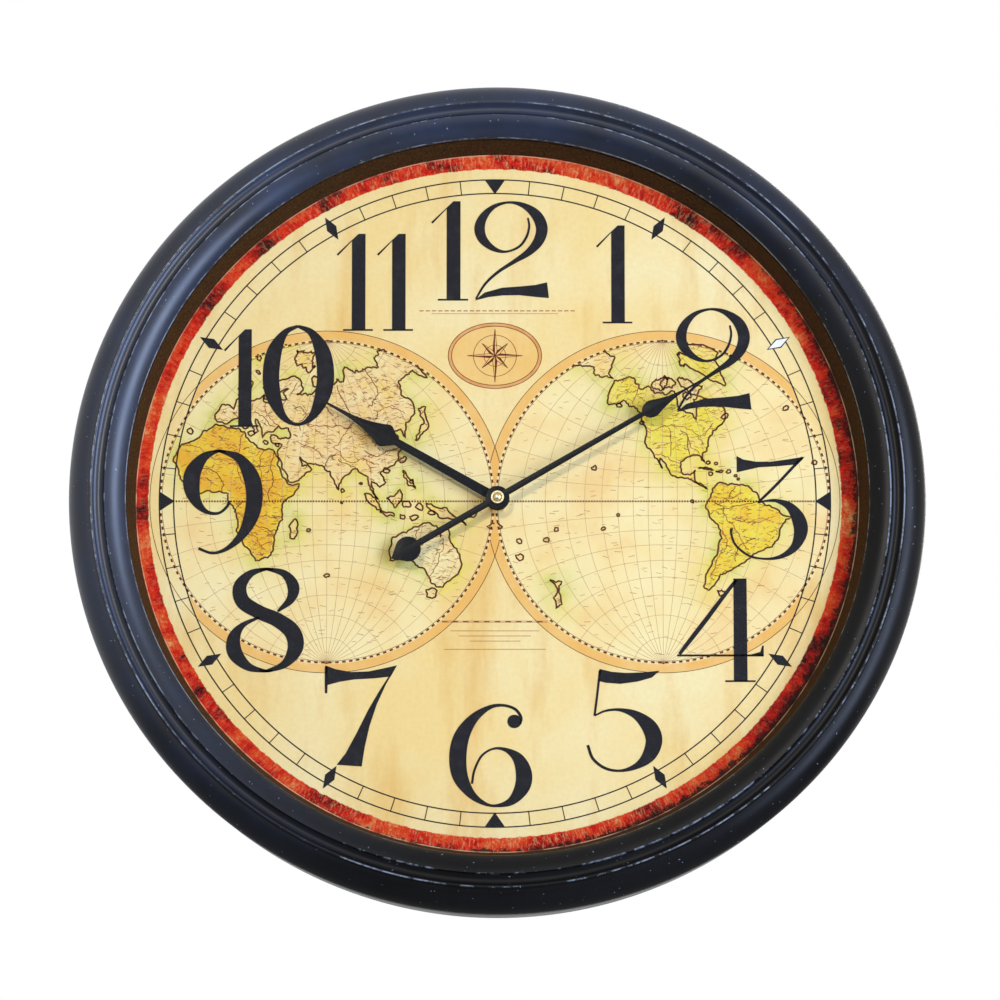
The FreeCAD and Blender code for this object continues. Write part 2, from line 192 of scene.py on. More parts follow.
def lamp(name, place, size, power, tint):
    """A square lamp that looks at the clock."""
    data = bpy.data.lights.new(name, "AREA")
    data.shape = "RECTANGLE"
    data.size, data.size_y = size
    data.energy = power
    data.color = colour(tint)[:3]
    made = linked(name, data)
    made.location = place
    made.rotation_euler = (-Vector(place)).to_track_quat("-Z", "Y").to_euler()


lamp("window", (-0.8, -2.8, 1.0), (0.36, 0.36), 29, "#fff8ec")
lamp("soft_right", (1.82, -1.66, 0.0), (0.85, 2.2), 92, "#c6d9ff")
lamp("behind", (0.9, 2.4, 1.1), (1.4, 1.4), 30, "#fbf7f0")

floor_mesh = bpy.data.meshes.new("floor")
floor_half, floor_below = 6, -1.9
floor_corners = [(x * floor_half, y * floor_half, floor_below)
                 for x, y in ((-1, -1), (1, -1), (1, 1), (-1, 1))]
floor_mesh.from_pydata(floor_corners, [], [(0, 1, 2, 3)])
floor = linked("floor", floor_mesh)
floor_finish, floor_tree = new_material("matt_pale_studio_floor")
# Cloudy unevenness of a painted floor, about 0.3 m across
cloud = add(floor_tree, NOISE, {"Scale": 3.0, "Detail": 4.0})
pale = add(floor_tree, RAMP, {"Fac": cloud}, stops=[(0.3, "#e9e8e5"), (0.7, "#efeeeb")])
add(floor_tree, OUTPUT, {"Surface": add(floor_tree, SHADER, {"Base Color": pale, "Roughness": 0.9})})
floor_mesh.materials.append(floor_finish)

# %% [markdown]
# Every piece that is made here ends the same way: its mesh is stood up into the room, its faces are
# turned outwards, its edges are shaded by angle, and it rides on the body that carries it.

# %% Making pieces
smooth_angle = math.radians(35)


def make_object(name, verts, faces, finish):
    """A mesh object from bench points in millimetres, stood up in the room."""
    mesh = bpy.data.meshes.new(name)
    mesh.from_pydata([tuple(v) for v in verts], [], [tuple(f) for f in faces])
    mesh.transform(STAND)
    mesh.polygons.foreach_set("use_smooth", [True] * len(mesh.polygons))
    mesh.set_sharp_from_angle(angle=smooth_angle)
    mesh.materials.append(finish)
    return linked(name, mesh)


def face_outwards(made):
    """Merge doubles and point every face of a closed mesh outwards."""
    bm = bmesh.new()
    bm.from_mesh(made.data)
    bmesh.ops.remove_doubles(bm, verts=bm.verts, dist=0.00001)
    bmesh.ops.recalc_face_normals(bm, faces=bm.faces)
    bm.to_mesh(made.data)
    bm.free()
    made.data.set_sharp_from_angle(angle=smooth_angle)


def settle(made, body, slot, *instead_of):
    """Let a piece ride on its body and hide the CAD nodes it stands for; the slot is not used."""
    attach(made, body)
    if instead_of:
        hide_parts(*instead_of)
    print(made.name, len(made.data.polygons), "faces")


def revolve(name, profile, steps, finish):
    """A closed ring or a solid of revolution from an outline of radius and height."""
    verts, faces, rows = [], [], []
    for radius, height in profile:
        if radius < 0.0001:
            rows.append([len(verts)] * steps)
            verts.append((0, 0, height))
        else:
            rows.append(list(range(len(verts), len(verts) + steps)))
            verts += [(*around((0, 0), radius, TURN * i / steps), height) for i in range(steps)]
    for row, above in zip(rows, rows[1:] + rows[:1]):
        for i in range(steps):
            j = (i + 1) % steps
            corners = list(dict.fromkeys((row[i], row[j], above[j], above[i])))
            if len(corners) > 2:
                faces.append(corners)
    made = make_object(name, verts, faces, finish)
    face_outwards(made)
    return made


def arc_points(start, middle, end, steps):
    """Points on the arc through three points, without the last one."""
    (ax, ay), (bx, by), (cx, cy) = start, middle, end
    d = 2 * (ax * (by - cy) + bx * (cy - ay) + cx * (ay - by))
    ux = ((ax**2 + ay**2) * (by - cy) + (bx**2 + by**2) * (cy - ay) + (cx**2 + cy**2) * (ay - by)) / d
    uy = ((ax**2 + ay**2) * (cx - bx) + (bx**2 + by**2) * (ax - cx) + (cx**2 + cy**2) * (bx - ax)) / d
    radius = math.hypot(ax - ux, ay - uy)
    first = math.atan2(ay - uy, ax - ux)
    to_middle = (math.atan2(by - uy, bx - ux) - first) % TURN
    to_end = (math.atan2(cy - uy, cx - ux) - first) % TURN
    if to_middle > to_end:
        to_end -= TURN
    return [around((ux, uy), radius, first + to_end * i / steps) for i in range(steps)]


# %% [markdown]
# The frame is turned from board and sprayed with a satin blue-black paint, then rubbed so that the
# ridges show a broken pale line. Satin paint is a plain dielectric of middle roughness; the rubbing is a
# mask by radius, because the ridges are rings, broken up by noise a few millimetres long.

# %% Frame paint
moulding_width = 27.2
lip_radius = frame_radius - moulding_width
# Each rubbed ring: its radius and half its width
rubbed_rings = ((186.0, 0.5), (192.5, 0.45), (lip_radius + 0.3, 0.2))
paint, tree = new_material("satin_blue_black_paint_rubbed_on_the_ridges")
place = add(tree, PLACE, out="Object")
across, depth, up = [add(tree, "ShaderNodeSeparateXYZ", {0: place}, axis) for axis in "XYZ"]
flat = add(tree, VECTOR, {0: place, 1: (1, 0, 1)}, operation="MULTIPLY")
radius = add(tree, VECTOR, {0: flat}, "Value", operation="LENGTH")
# Mottling of the spray about 25 mm across, rubbed breaks 2 to 6 mm long, and dust specks about 1 mm
mottle = add(tree, NOISE, {"Vector": place, "Scale": 40.0, "Detail": 5.0})
breaks = add(tree, NOISE, {"Vector": place, "Scale": 230.0, "Detail": 4.0, "Roughness": 0.7})
patches = add(tree, NOISE, {"Vector": place, "Scale": 14.0, "Detail": 2.0})
dust = add(tree, NOISE, {"Vector": place, "Scale": 900.0, "Detail": 0.0})
worn = 0.0
for ring_radius, half in rubbed_rings:
    off = add(tree, MATH, {0: radius, 1: ring_radius * MM}, operation="SUBTRACT")
    off = add(tree, MATH, {0: off}, operation="ABSOLUTE")
    line = add(tree, RANGE, {"Value": off, 1: half * MM, 2: 0.1 * MM, 3: 0.0, 4: 1.0})
    worn = add(tree, MATH, {0: worn, 1: line}, operation="MAXIMUM")
both_noises = add(tree, MATH, {0: breaks, 1: patches}, operation="ADD")
broken = add(tree, RANGE, {"Value": both_noises, 1: 0.96, 2: 1.14, 3: 0.0, 4: 0.85})
# Only the moulded front is rubbed
front = [-(glass_front - gap) * MM for gap in (4, 2)]
moulded_front = add(tree, RANGE, {"Value": depth, 1: front[0], 2: front[1], 3: 0.0, 4: 1.0})
rub = worn
for mask in (broken, moulded_front):
    rub = add(tree, MATH, {0: rub, 1: mask}, operation="MULTIPLY")
specks = add(tree, RANGE, {"Value": dust, 1: 0.835, 2: 0.86, 3: 0.0, 4: 0.6})
rub = add(tree, MATH, {0: rub, 1: specks}, operation="MAXIMUM")
# Painted shade: towards the lower right the paint turns near black and less glossy, where the frame lies in
# shade
bluer = add(tree, RAMP, {"Fac": mottle}, stops=[(0.3, "#08101d"), (0.7, "#11203a")])
painted_shade_black = add(tree, RAMP, {"Fac": mottle}, stops=[(0.3, "#050506"), (0.7, "#0b0a0c")])
corner = add(tree, MATH, {0: across, 1: up}, operation="SUBTRACT")
lower_right_shade = add(tree, RANGE, {"Value": corner, 1: -0.16, 2: 0.14, 3: 0.0, 4: 1.0})
paint_and_shade = add(tree, MIX, {0: lower_right_shade, 6: bluer, 7: painted_shade_black}, 2, data_type="RGBA")
gloss = add(tree, RANGE, {"Value": lower_right_shade, 1: 0.0, 2: 1.0, 3: 0.5, 4: 0.14})
painted = add(tree, MIX, {0: rub, 6: paint_and_shade, 7: colour("#939ca8")}, 2, data_type="RGBA")
sheen = add(tree, RANGE, {"Value": mottle, 1: 0.2, 2: 0.8, 3: 0.32, 4: 0.42})
dents = add(tree, BUMP, {"Height": breaks, "Strength": 0.12, "Distance": 0.0003})
add(tree, OUTPUT, {"Surface": add(tree, SHADER, {"Base Color": painted, "Roughness": sheen, "Normal": dents,
                                                 "Specular IOR Level": gloss})})
print(paint.name, "has", len(tree.nodes), "nodes")

# %% [markdown]
# The moulding is one outline turned about the shaft: lip, convex band, ridge, cove, bead, quarter round,
# and a side that leans in to the back. Arcs with many points take the facets out of the CAD's runs.

# %% Turned frame
moulding_relief = 6.2
back_inset = 5.0
cavity_radius = lip_radius + 4.7


def moulded(share_x, share_z):
    """A point on the moulded face."""
    return (lip_radius + share_x * moulding_width, crest - share_z * moulding_relief)


outline = [(cavity_radius, 0), (cavity_radius, glass_front), (lip_radius + 0.3, glass_front),
           (lip_radius, glass_front + 0.3)]
outline += arc_points(moulded(0, 1), moulded(0.17, 0.28), moulded(0.375, 0), 10)
outline += arc_points(moulded(0.375, 0), moulded(0.46, 0.32), moulded(0.577, 0.14), 8)
outline += arc_points(moulded(0.577, 0.14), moulded(0.613, 0.06), moulded(0.647, 0.26), 6)
outline += arc_points(moulded(0.647, 0.26), moulded(0.9, 0.95), moulded(1, 2), 12)
outline += [moulded(1, 2), (frame_radius - back_inset, 0.6), (frame_radius - back_inset - 0.6, 0)]
turned_frame = revolve("turned_frame", outline, 288, paint)

# %% Cut the hanger's room and the slits for the tabs
def cutter(low, high, turn=0.0):
    """A block between two bench corners, turned about the shaft, as a cutting tool."""
    bm = bmesh.new()
    bmesh.ops.create_cube(bm, size=1.0)
    size = [b - a for a, b in zip(low, high)]
    middle = [(a + b) / 2 for a, b in zip(low, high)]
    bmesh.ops.transform(bm, matrix=STAND @ Matrix.Rotation(turn, 4, "Z") @ Matrix.Translation(middle)
                        @ Matrix.Diagonal(size + [1]), verts=bm.verts)
    mesh = bpy.data.meshes.new("cutter")
    bm.to_mesh(mesh)
    bm.free()
    return linked("cutter", mesh)


hanger_low, hanger_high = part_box("hanger_plate")
hanger_front = reach("hanger_plate", "front")
plate_corners = [(corner[0] / MM, corner[2] / MM) for corner in (hanger_low, hanger_high)]
# The room behind the plate for the wall screw's head, and where the tabs' slits begin and end
screw_room = ((-5.2, 182.85, 1), (5.2, 196.65, 10.2))
slit_start, slit_end, slit_half, slit_count = 170, 187.5, 4, 8
tools = [cutter((*plate_corners[0], -1), (*plate_corners[1], hanger_front)), cutter(*screw_room)]
tools += [cutter((slit_start, -slit_half, reach("board_tabs", "back")),
                 (slit_end, slit_half, reach("board_tabs", "front")),
                 TURN * (i + 0.5) / slit_count) for i in range(slit_count)]
bpy.context.view_layer.update()
for tool in tools:
    cut = turned_frame.modifiers.new("cut", "BOOLEAN")
    cut.operation = "DIFFERENCE"
    cut.solver = "EXACT"
    cut.object = tool
turned_frame.data = evaluated(turned_frame)
for tool in tools:
    bpy.data.objects.remove(tool)
settle(turned_frame, "clock", "frame_paint", "frame_ring")

# %% [markdown]
# The print is a chart of the world in two half globes, in the manner of old sea charts, drawn here from
# scratch: the coasts are a few dozen points each, given in longitude and latitude, and roughened
# by a fixed random walk, as a hand engraver's line would be. A formula, the stereographic projection,
# sets each half globe on the dial. The eastern half stands on the left, and a wind rose fills the middle.

# %% Coasts and rivers
lands = {
    "north_america": [
        (-168, 66), (-156, 71), (-128, 70), (-115, 68), (-95, 68), (-94, 60), (-82, 55), (-80, 51),
        (-77, 57), (-77, 62), (-66, 60), (-56, 52), (-60, 46), (-70, 43), (-74, 40), (-76, 35), (-81, 31),
        (-80, 25), (-83, 30), (-90, 30), (-97, 27), (-97, 20), (-91, 18), (-87, 21), (-88, 15), (-83, 10),
        (-80, 8), (-86, 12), (-95, 16), (-105, 20), (-112, 30), (-110, 23), (-117, 33), (-124, 40),
        (-124, 48), (-135, 58), (-150, 60), (-160, 55), (-165, 60)],
    "south_america": [
        (-77, 8), (-72, 12), (-62, 10), (-51, 4), (-50, 0), (-44, -3), (-35, -7), (-39, -15), (-41, -22),
        (-48, -27), (-54, -34), (-58, -38), (-65, -43), (-66, -48), (-69, -53), (-74, -52), (-75, -45),
        (-73, -37), (-71, -28), (-71, -18), (-77, -12), (-81, -5), (-80, 0), (-78, 4)],
    "greenland": [
        (-73, 78), (-60, 82), (-30, 83), (-20, 76), (-24, 70), (-40, 65), (-45, 60), (-52, 66), (-55, 71)],
    "africa": [
        (-6, 35), (10, 37), (20, 32), (32, 31), (35, 28), (38, 20), (43, 12), (51, 12), (47, 4), (40, -3),
        (40, -12), (35, -20), (33, -26), (27, -34), (19, -34), (15, -25), (12, -16), (13, -8), (9, 0),
        (9, 4), (0, 5), (-8, 4), (-13, 9), (-17, 15), (-16, 22), (-10, 30)],
    "eurasia": [
        (-9, 38), (-9, 43), (-2, 44), (-4, 48), (3, 51), (8, 54), (9, 57), (12, 54), (20, 55), (24, 59),
        (29, 60), (22, 62), (25, 65), (18, 61), (16, 57), (11, 59), (5, 59), (6, 62), (14, 67), (25, 71),
        (40, 67), (35, 64), (44, 66), (55, 69), (68, 69), (72, 73), (85, 74), (104, 78), (113, 74),
        (130, 72), (150, 72), (160, 70), (180, 69), (190, 66), (178, 63), (163, 60), (157, 52), (155, 58),
        (142, 59), (137, 54), (140, 48), (130, 42), (127, 38), (126, 35), (125, 40), (118, 39), (122, 37),
        (120, 33), (122, 30), (118, 24), (109, 21), (106, 18), (109, 12), (105, 9), (100, 13), (101, 6),
        (104, 1), (99, 8), (98, 16), (91, 22), (87, 21), (80, 15), (78, 8), (73, 17), (72, 21), (66, 25),
        (57, 26), (50, 30), (52, 24), (56, 25), (59, 22), (52, 16), (44, 13), (39, 21), (35, 28), (34, 31),
        (36, 36), (28, 37), (27, 40), (41, 41), (38, 46), (34, 45), (30, 46), (28, 42), (23, 40), (22, 37),
        (19, 42), (13, 45), (18, 40), (16, 38), (11, 43), (7, 43), (3, 42), (-1, 37), (-6, 36)],
    "australia": [
        (114, -22), (122, -18), (130, -12), (137, -12), (140, -17), (142, -11), (146, -19), (153, -27),
        (150, -37), (144, -38), (138, -34), (130, -32), (116, -35)],
    "madagascar": [(49, -12), (50, -16), (47, -25), (44, -24), (44, -17)],
    "britain": [(-5, 50), (1, 51), (-2, 56), (-5, 58), (-6, 55), (-3, 53)],
    "iceland": [(-24, 65), (-14, 65), (-16, 66), (-22, 66)],
    "japan": [(131, 32), (136, 34), (141, 36), (142, 40), (145, 44), (141, 45), (140, 39), (135, 35)],
    "borneo": [(109, 2), (114, -4), (118, 1), (117, 7)],
    "sumatra": [(95, 5), (103, 0), (106, -6), (101, -3)],
    "java": [(105, -7), (114, -9), (113, -7), (106, -6)],
    "new_guinea": [(131, -1), (141, -3), (150, -10), (143, -8), (138, -8), (133, -4)],
    "philippines": [(120, 18), (122, 14), (126, 7), (122, 9), (120, 14)],
    "ceylon": [(80, 9), (82, 7), (80, 6)],
    "new_zealand": [(173, -35), (178, -38), (171, -46), (167, -46), (174, -40)],
    "cuba": [(-85, 22), (-75, 20), (-79, 22)],
    "hispaniola": [(-74, 19), (-69, 19), (-71, 18)],
    "baffin": [(-88, 73), (-75, 72), (-62, 66), (-72, 63), (-80, 68)],
}
rivers = [
    [(32, 31), (31, 24), (33, 18), (32, 8), (32, 0)], [(-50, 0), (-58, -2), (-66, -4), (-74, -5)],
    [(-90, 30), (-91, 36), (-90, 43), (-95, 47)], [(122, 32), (112, 31), (104, 29), (97, 33)],
    [(90, 23), (84, 26), (78, 29)], [(28, 45), (19, 47), (10, 48)],
    [(48, 46), (45, 50), (50, 56), (38, 57)], [(68, 68), (66, 61), (76, 56)],
    [(83, 71), (88, 63), (92, 54)], [(127, 72), (125, 63), (112, 56)], [(12, -6), (18, 0), (25, -1)],
    [(6, 5), (4, 12), (-4, 15), (-9, 11)], [(68, 24), (71, 30), (77, 33)],
    [(36, -19), (28, -16), (23, -14)], [(-58, -34), (-59, -27), (-50, -20)], [(-63, 9), (-66, 5), (-67, 2)]]
borders = [
    [(-124, 49), (-95, 49), (-83, 43), (-68, 47)], [(-117, 32), (-106, 31), (-97, 26)],
    [(-141, 60), (-141, 70)], [(-105, 49), (-103, 40), (-104, 31)], [(-90, 43), (-89, 36), (-83, 31)],
    [(-82, 41), (-79, 36)], [(-78, 1), (-70, -4), (-68, -11), (-62, -17), (-58, -22), (-54, -26)],
    [(-67, 2), (-60, 5)], [(-70, -18), (-66, -25), (-70, -35), (-72, -45)],
    [(-65, -10), (-55, -12), (-45, -8)], [(-17, 21), (0, 20), (12, 22), (25, 21), (35, 22)],
    [(10, 36), (11, 24), (15, 12)], [(25, 31), (25, 10), (29, 3)], [(15, 12), (25, 9), (35, 5), (43, 4)],
    [(12, -6), (22, -8), (30, -9), (40, -11)], [(20, -18), (24, -26), (32, -25)], [(-1, 43), (3, 42)],
    [(6, 44), (8, 48), (6, 51)], [(14, 54), (18, 50), (24, 48), (29, 46)], [(28, 60), (28, 54), (38, 48)],
    [(30, 69), (29, 62)], [(60, 68), (59, 55), (52, 50)],
    [(52, 50), (66, 50), (80, 50), (92, 50), (110, 49), (122, 53), (132, 46)],
    [(44, 39), (50, 38), (60, 36), (67, 30)], [(75, 37), (82, 29), (92, 27), (98, 27), (106, 23)],
    [(75, 37), (85, 45), (92, 50)], [(96, 42), (104, 41), (112, 43), (120, 46)], [(98, 27), (100, 18)],
    [(129, -14), (129, -32)], [(141, -17), (141, -37)]]
# The small islands: longitude, latitude and half width in degrees
islands = [
    (-62, 15, 1.0), (-61, 13, 0.9), (-66, 18, 1.5), (-77, 18, 1.6), (125, -9, 2.2), (119, -9, 2.0),
    (128, -3, 2.2), (121, -2, 3.2), (134, -6, 1.6), (147, -42, 2.8), (160, -9, 2.0), (167, -16, 1.6),
    (178, -18, 1.6), (-156, 20, 1.6), (-150, -17, 1.2), (57, -20, 1.2), (-15, 28, 1.3), (-25, 38, 1.1),
    (-24, 15, 1.1), (-90, 0, 1.3), (-59, -52, 2.4), (9, 40, 1.6), (9, 42, 1.2), (14, 37.6, 1.7),
    (25, 35.2, 1.4), (33, 35, 1.3), (93, 12, 1.1), (110, 19, 2.0), (121, 24, 1.9), (18, 79, 4.0),
    (56, 73, 3.4), (-152, 57, 1.6), (-128, 51, 1.6), (-6, 53.5, 2.2), (-7, 62, 1.0), (12, 56, 1.2),
    (-100, 72, 4.5), (-112, 72, 4.0), (-82, 64, 2.6), (-73, 24, 1.0), (-78, 25, 1.2), (-58, 48, 1.8),
    (165, -22, 1.6), (152, -5, 2.0), (124, 11, 1.5), (80, -1, 0.8), (-176, -14, 1.1), (-140, -9, 1.0),
    (-37, -54, 1.4), (70, -49, 1.5)]
print(len(lands), "coasts,", len(rivers), "rivers,", len(borders), "borders,", len(islands), "small islands")

# %% [markdown]
# Each polygon's edges are split and pushed sideways by a seeded random amount, which gives bays and
# capes. The half globes are 79.6 mm in radius and touch at the middle of the print.

# %% Ragged lines and the projection
globe_radius = 79.6
globes = {"east": (70, (-globe_radius, 0)), "west": (-110, (globe_radius, 0))}
chance = random.Random(11)


def ragged(points, closed, finest=1.6):
    """The same line with its runs split and pushed sideways until they are short."""
    runs = list(zip(points, points[1:] + points[:1] if closed else points[1:]))
    out = []
    for a, b in runs:
        line = [a, b]
        while math.dist(line[0], line[1]) > finest:
            finer = []
            for p, q in zip(line, line[1:]):
                push = chance.uniform(-0.17, 0.17)
                dx, dy = q[0] - p[0], q[1] - p[1]
                finer += [p, ((p[0] + q[0]) / 2 - push * dy, (p[1] + q[1]) / 2 + push * dx)]
            line = finer + [line[-1]]
        out += line[:-1]
    return out if closed else out + [points[-1]]


for i, (lon, lat, half) in enumerate(islands):
    turns = [TURN * k / 6 + chance.uniform(-0.3, 0.3) for k in range(6)]
    sizes = [half * chance.uniform(0.6, 1.25) for turn in turns]
    widening = math.cos(math.radians(lat))
    lands["island_" + str(i)] = [(lon + size * math.cos(turn) / widening, lat + 0.8 * size * math.sin(turn))
                                 for turn, size in zip(turns, sizes)]
coasts = {name: ragged(points, True) for name, points in lands.items()}
streams = [ragged(points, False) for points in rivers]
frontiers = [ragged(points, False) for points in borders]


def project(lon, lat, globe):
    """The place on the dial of a longitude and latitude, or None if it lies on the other half globe."""
    middle, (cx, cy) = globes[globe]
    turn = math.radians((lon - middle + 180) % 360 - 180)
    if abs(turn) > math.radians(90.5):
        return None
    tilt = math.radians(lat)
    scale = globe_radius / (1 + math.cos(tilt) * math.cos(turn))
    return (cx + scale * math.cos(tilt) * math.sin(turn), cy + scale * math.sin(tilt))


def drawn(points, globe):
    """The stretches of a line that fall on one half globe, as places on the dial."""
    stretches, current = [], []
    for lon, lat in points:
        spot = project(lon, lat, globe)
        if spot is None:
            stretches.append(current)
            current = []
        else:
            current.append(spot)
    stretches.append(current)
    return [s for s in stretches if len(s) > 1]


coast_lines = [s for points in coasts.values() for g in globes for s in drawn(points + points[:1], g)]
river_lines = [s for points in streams for g in globes for s in drawn(points, g)]
border_lines = [s for points in frontiers for g in globes for s in drawn(points, g)]
print(sum(len(s) for s in coast_lines), "points on the coasts")

# %% [markdown]
# Soft colour, such as the tint of a country or the green wash along a coast, has no edge, so it is kept
# as numbers on the vertices of the printed sheet. The sheet is a fine polar grid. Each vertex is turned
# back into a longitude and latitude, tested against the coasts, given its land's tint, and told how far
# off the nearest coast is.

# %% The sheet's grid
# The print sits a little to the left of the shaft, as in the photograph
print_shift = (-1.2, 0.0)
ring_count, spoke_count = 118, 640
hole_radius = 4.2
radii = np.linspace(hole_radius, board_radius, ring_count + 1)
angles = np.arange(spoke_count) * TURN / spoke_count
grid_r, grid_a = np.meshgrid(radii, angles, indexing="ij")
sheet_x, sheet_y = (grid_r * np.cos(grid_a)).ravel(), (grid_r * np.sin(grid_a)).ravel()
print_x, print_y = sheet_x - print_shift[0], sheet_y - print_shift[1]


def corners_of(r, s):
    """The four grid points round one cell of the sheet: ring r, spoke s."""
    t = (s + 1) % spoke_count
    return (r * spoke_count + s, r * spoke_count + t, (r + 1) * spoke_count + t, (r + 1) * spoke_count + s)


def inside(lon, lat, polygon):
    """Which points lie inside a polygon of longitudes and latitudes."""
    hit = np.zeros(len(lon), bool)
    for (ax, ay), (bx, by) in zip(polygon, polygon[1:] + polygon[:1]):
        crosses = (ay > lat) != (by > lat)
        if ay != by:
            hit ^= crosses & (lon < (bx - ax) * (lat - ay) / (by - ay) + ax)
    return hit


land = np.zeros(len(print_x))
sea = np.zeros(len(print_x))
tint = np.zeros(len(print_x))
tints = {"north_america": 0.6, "greenland": 0.5, "south_america": 0.72, "africa": 0.88, "eurasia": 0.25,
         "australia": 0.12}
other_tint = 0.35
glow_reach = 4.6
for globe, (middle, (cx, cy)) in globes.items():
    u, v = (print_x - cx) / globe_radius, (print_y - cy) / globe_radius
    rho = np.hypot(u, v)
    on = rho < 1
    c = 2 * np.arctan(rho[on])
    share = np.sin(c) / np.maximum(rho[on], 1e-6)
    lat = np.degrees(np.arcsin(np.clip(v[on] * share, -1, 1)))
    lon = np.degrees(np.arctan2(u[on] * share, np.cos(c))) + middle
    sea[on] = 1
    mark = np.zeros(on.sum())
    for name, polygon in coasts.items():
        for lap in (-360, 0, 360):
            mark[inside(lon + lap, lat, polygon)] = tints.get(name, other_tint)
    land[on] = mark > 0
    tint[on] = mark
main_coasts = [spot for name, points in coasts.items() if not name.startswith("island") for g in globes
               for line in drawn(points + points[:1], g) for spot in line]
tree_of_coasts = kdtree.KDTree(len(main_coasts))
for index, (x, y) in enumerate(main_coasts):
    tree_of_coasts.insert((x, y, 0), index)
tree_of_coasts.balance()
shore = np.array([math.exp(-tree_of_coasts.find((x, y, 0))[2] / glow_reach) if s else 0.0
                  for x, y, s in zip(print_x, print_y, sea)])
print("land on", int(land.sum()), "of", int(sea.sum()), "points")

# %% [markdown]
# The paper is aged cream, a matt uncoated stock printed in ink and slightly blotched. Around the minute
# track runs a red band, scratched through at the top and the bottom; black lies along its outer edge,
# partly its print and partly painted shade that deepens towards the lower right.
# Distances give the bands and ovals, and noise with a real size in millimetres breaks them up.

# %% Printed paper
rose_middle = (0.0, 71.8)
oval_half = (22.2, 16.2)
rose_scale = (1 / (oval_half[0] * MM), 0, 1 / (oval_half[1] * MM))
rim_width = 4.4
track_inner, track_outer = 152.3, 159.1
paper, tree = new_material("aged_uncoated_paper_printed_in_ink")
place = add(tree, PLACE, out="Object")
print_offset = (-print_shift[0] * MM, 0, -print_shift[1] * MM)
centred = add(tree, "ShaderNodeMapping", {"Vector": place, "Location": print_offset})
flat = add(tree, VECTOR, {0: centred, 1: (1, 0, 1)}, operation="MULTIPLY")
value = {name: add(tree, "ShaderNodeAttribute", out="Fac", attribute_name=name)
         for name in ("land", "sea", "shore", "tint")}
value["across"], value["up"] = [add(tree, "ShaderNodeSeparateXYZ", {0: flat}, axis) for axis in "XZ"]
# Distances from the middle of the print, the rose, the half globes and the shaft, by a shift and a scale
for name, start, shift, scale in (
        ("radius", flat, (0, 0, 0), (1, 1, 1)),
        ("from_rose", flat, (0, 0, -rose_middle[1] * MM), rose_scale),
        ("from_left", flat, (globe_radius * MM, 0, 0), (1, 1, 1)),
        ("from_right", flat, (-globe_radius * MM, 0, 0), (1, 1, 1)),
        ("from_shaft", place, (0, 0, 0), (1, 0, 1))):
    moved = add(tree, VECTOR, {0: start, 1: shift}, operation="ADD")
    scaled = add(tree, VECTOR, {0: moved, 1: scale}, operation="MULTIPLY")
    value[name] = add(tree, VECTOR, {0: scaled}, "Value", operation="LENGTH")
# Water stains run up and down, so their noise is stretched four times up the dial. Scratches run out
# along the radius, so theirs takes the angle as one direction.
tall = add(tree, "ShaderNodeMapping", {"Vector": flat, "Scale": (1, 1, 0.25)})
red_middle, scratch_stretch = 0.168, 0.3
angle = add(tree, MATH, {0: value["up"], 1: value["across"]}, operation="ARCTAN2")
round_the_rim = add(tree, MATH, {0: angle, 1: red_middle}, operation="MULTIPLY")
along = add(tree, MATH, {0: value["radius"], 1: scratch_stretch}, operation="MULTIPLY")
polar = add(tree, "ShaderNodeCombineXYZ", {0: round_the_rim, 1: along})
# Blotches of ink and age: the size in millimetres, detail, roughness, and what they lie along
for name, size_mm, detail, rough, vector in (
        ("cloud", 70, 3.0, 0.55, flat), ("stain", 26, 5.0, 0.6, tall), ("fibre", 2.2, 2.0, 0.5, flat),
        ("wash", 30, 3.0, 0.5, flat), ("brush", 12, 4.0, 0.6, flat), ("grain", 1.6, 4.0, 0.7, flat),
        ("edge", 3.5, 6.0, 0.75, flat), ("grit", 1.0, 6.0, 0.8, flat), ("patch", 30, 3.0, 0.5, flat),
        ("scratch", 1.3, 5.0, 0.75, polar)):
    value[name] = add(tree, NOISE, {"Vector": vector, "Scale": 1 / (size_mm * MM), "Detail": detail,
                                    "Roughness": rough})
print(len(value), "distances, noises and numbers kept on the sheet")

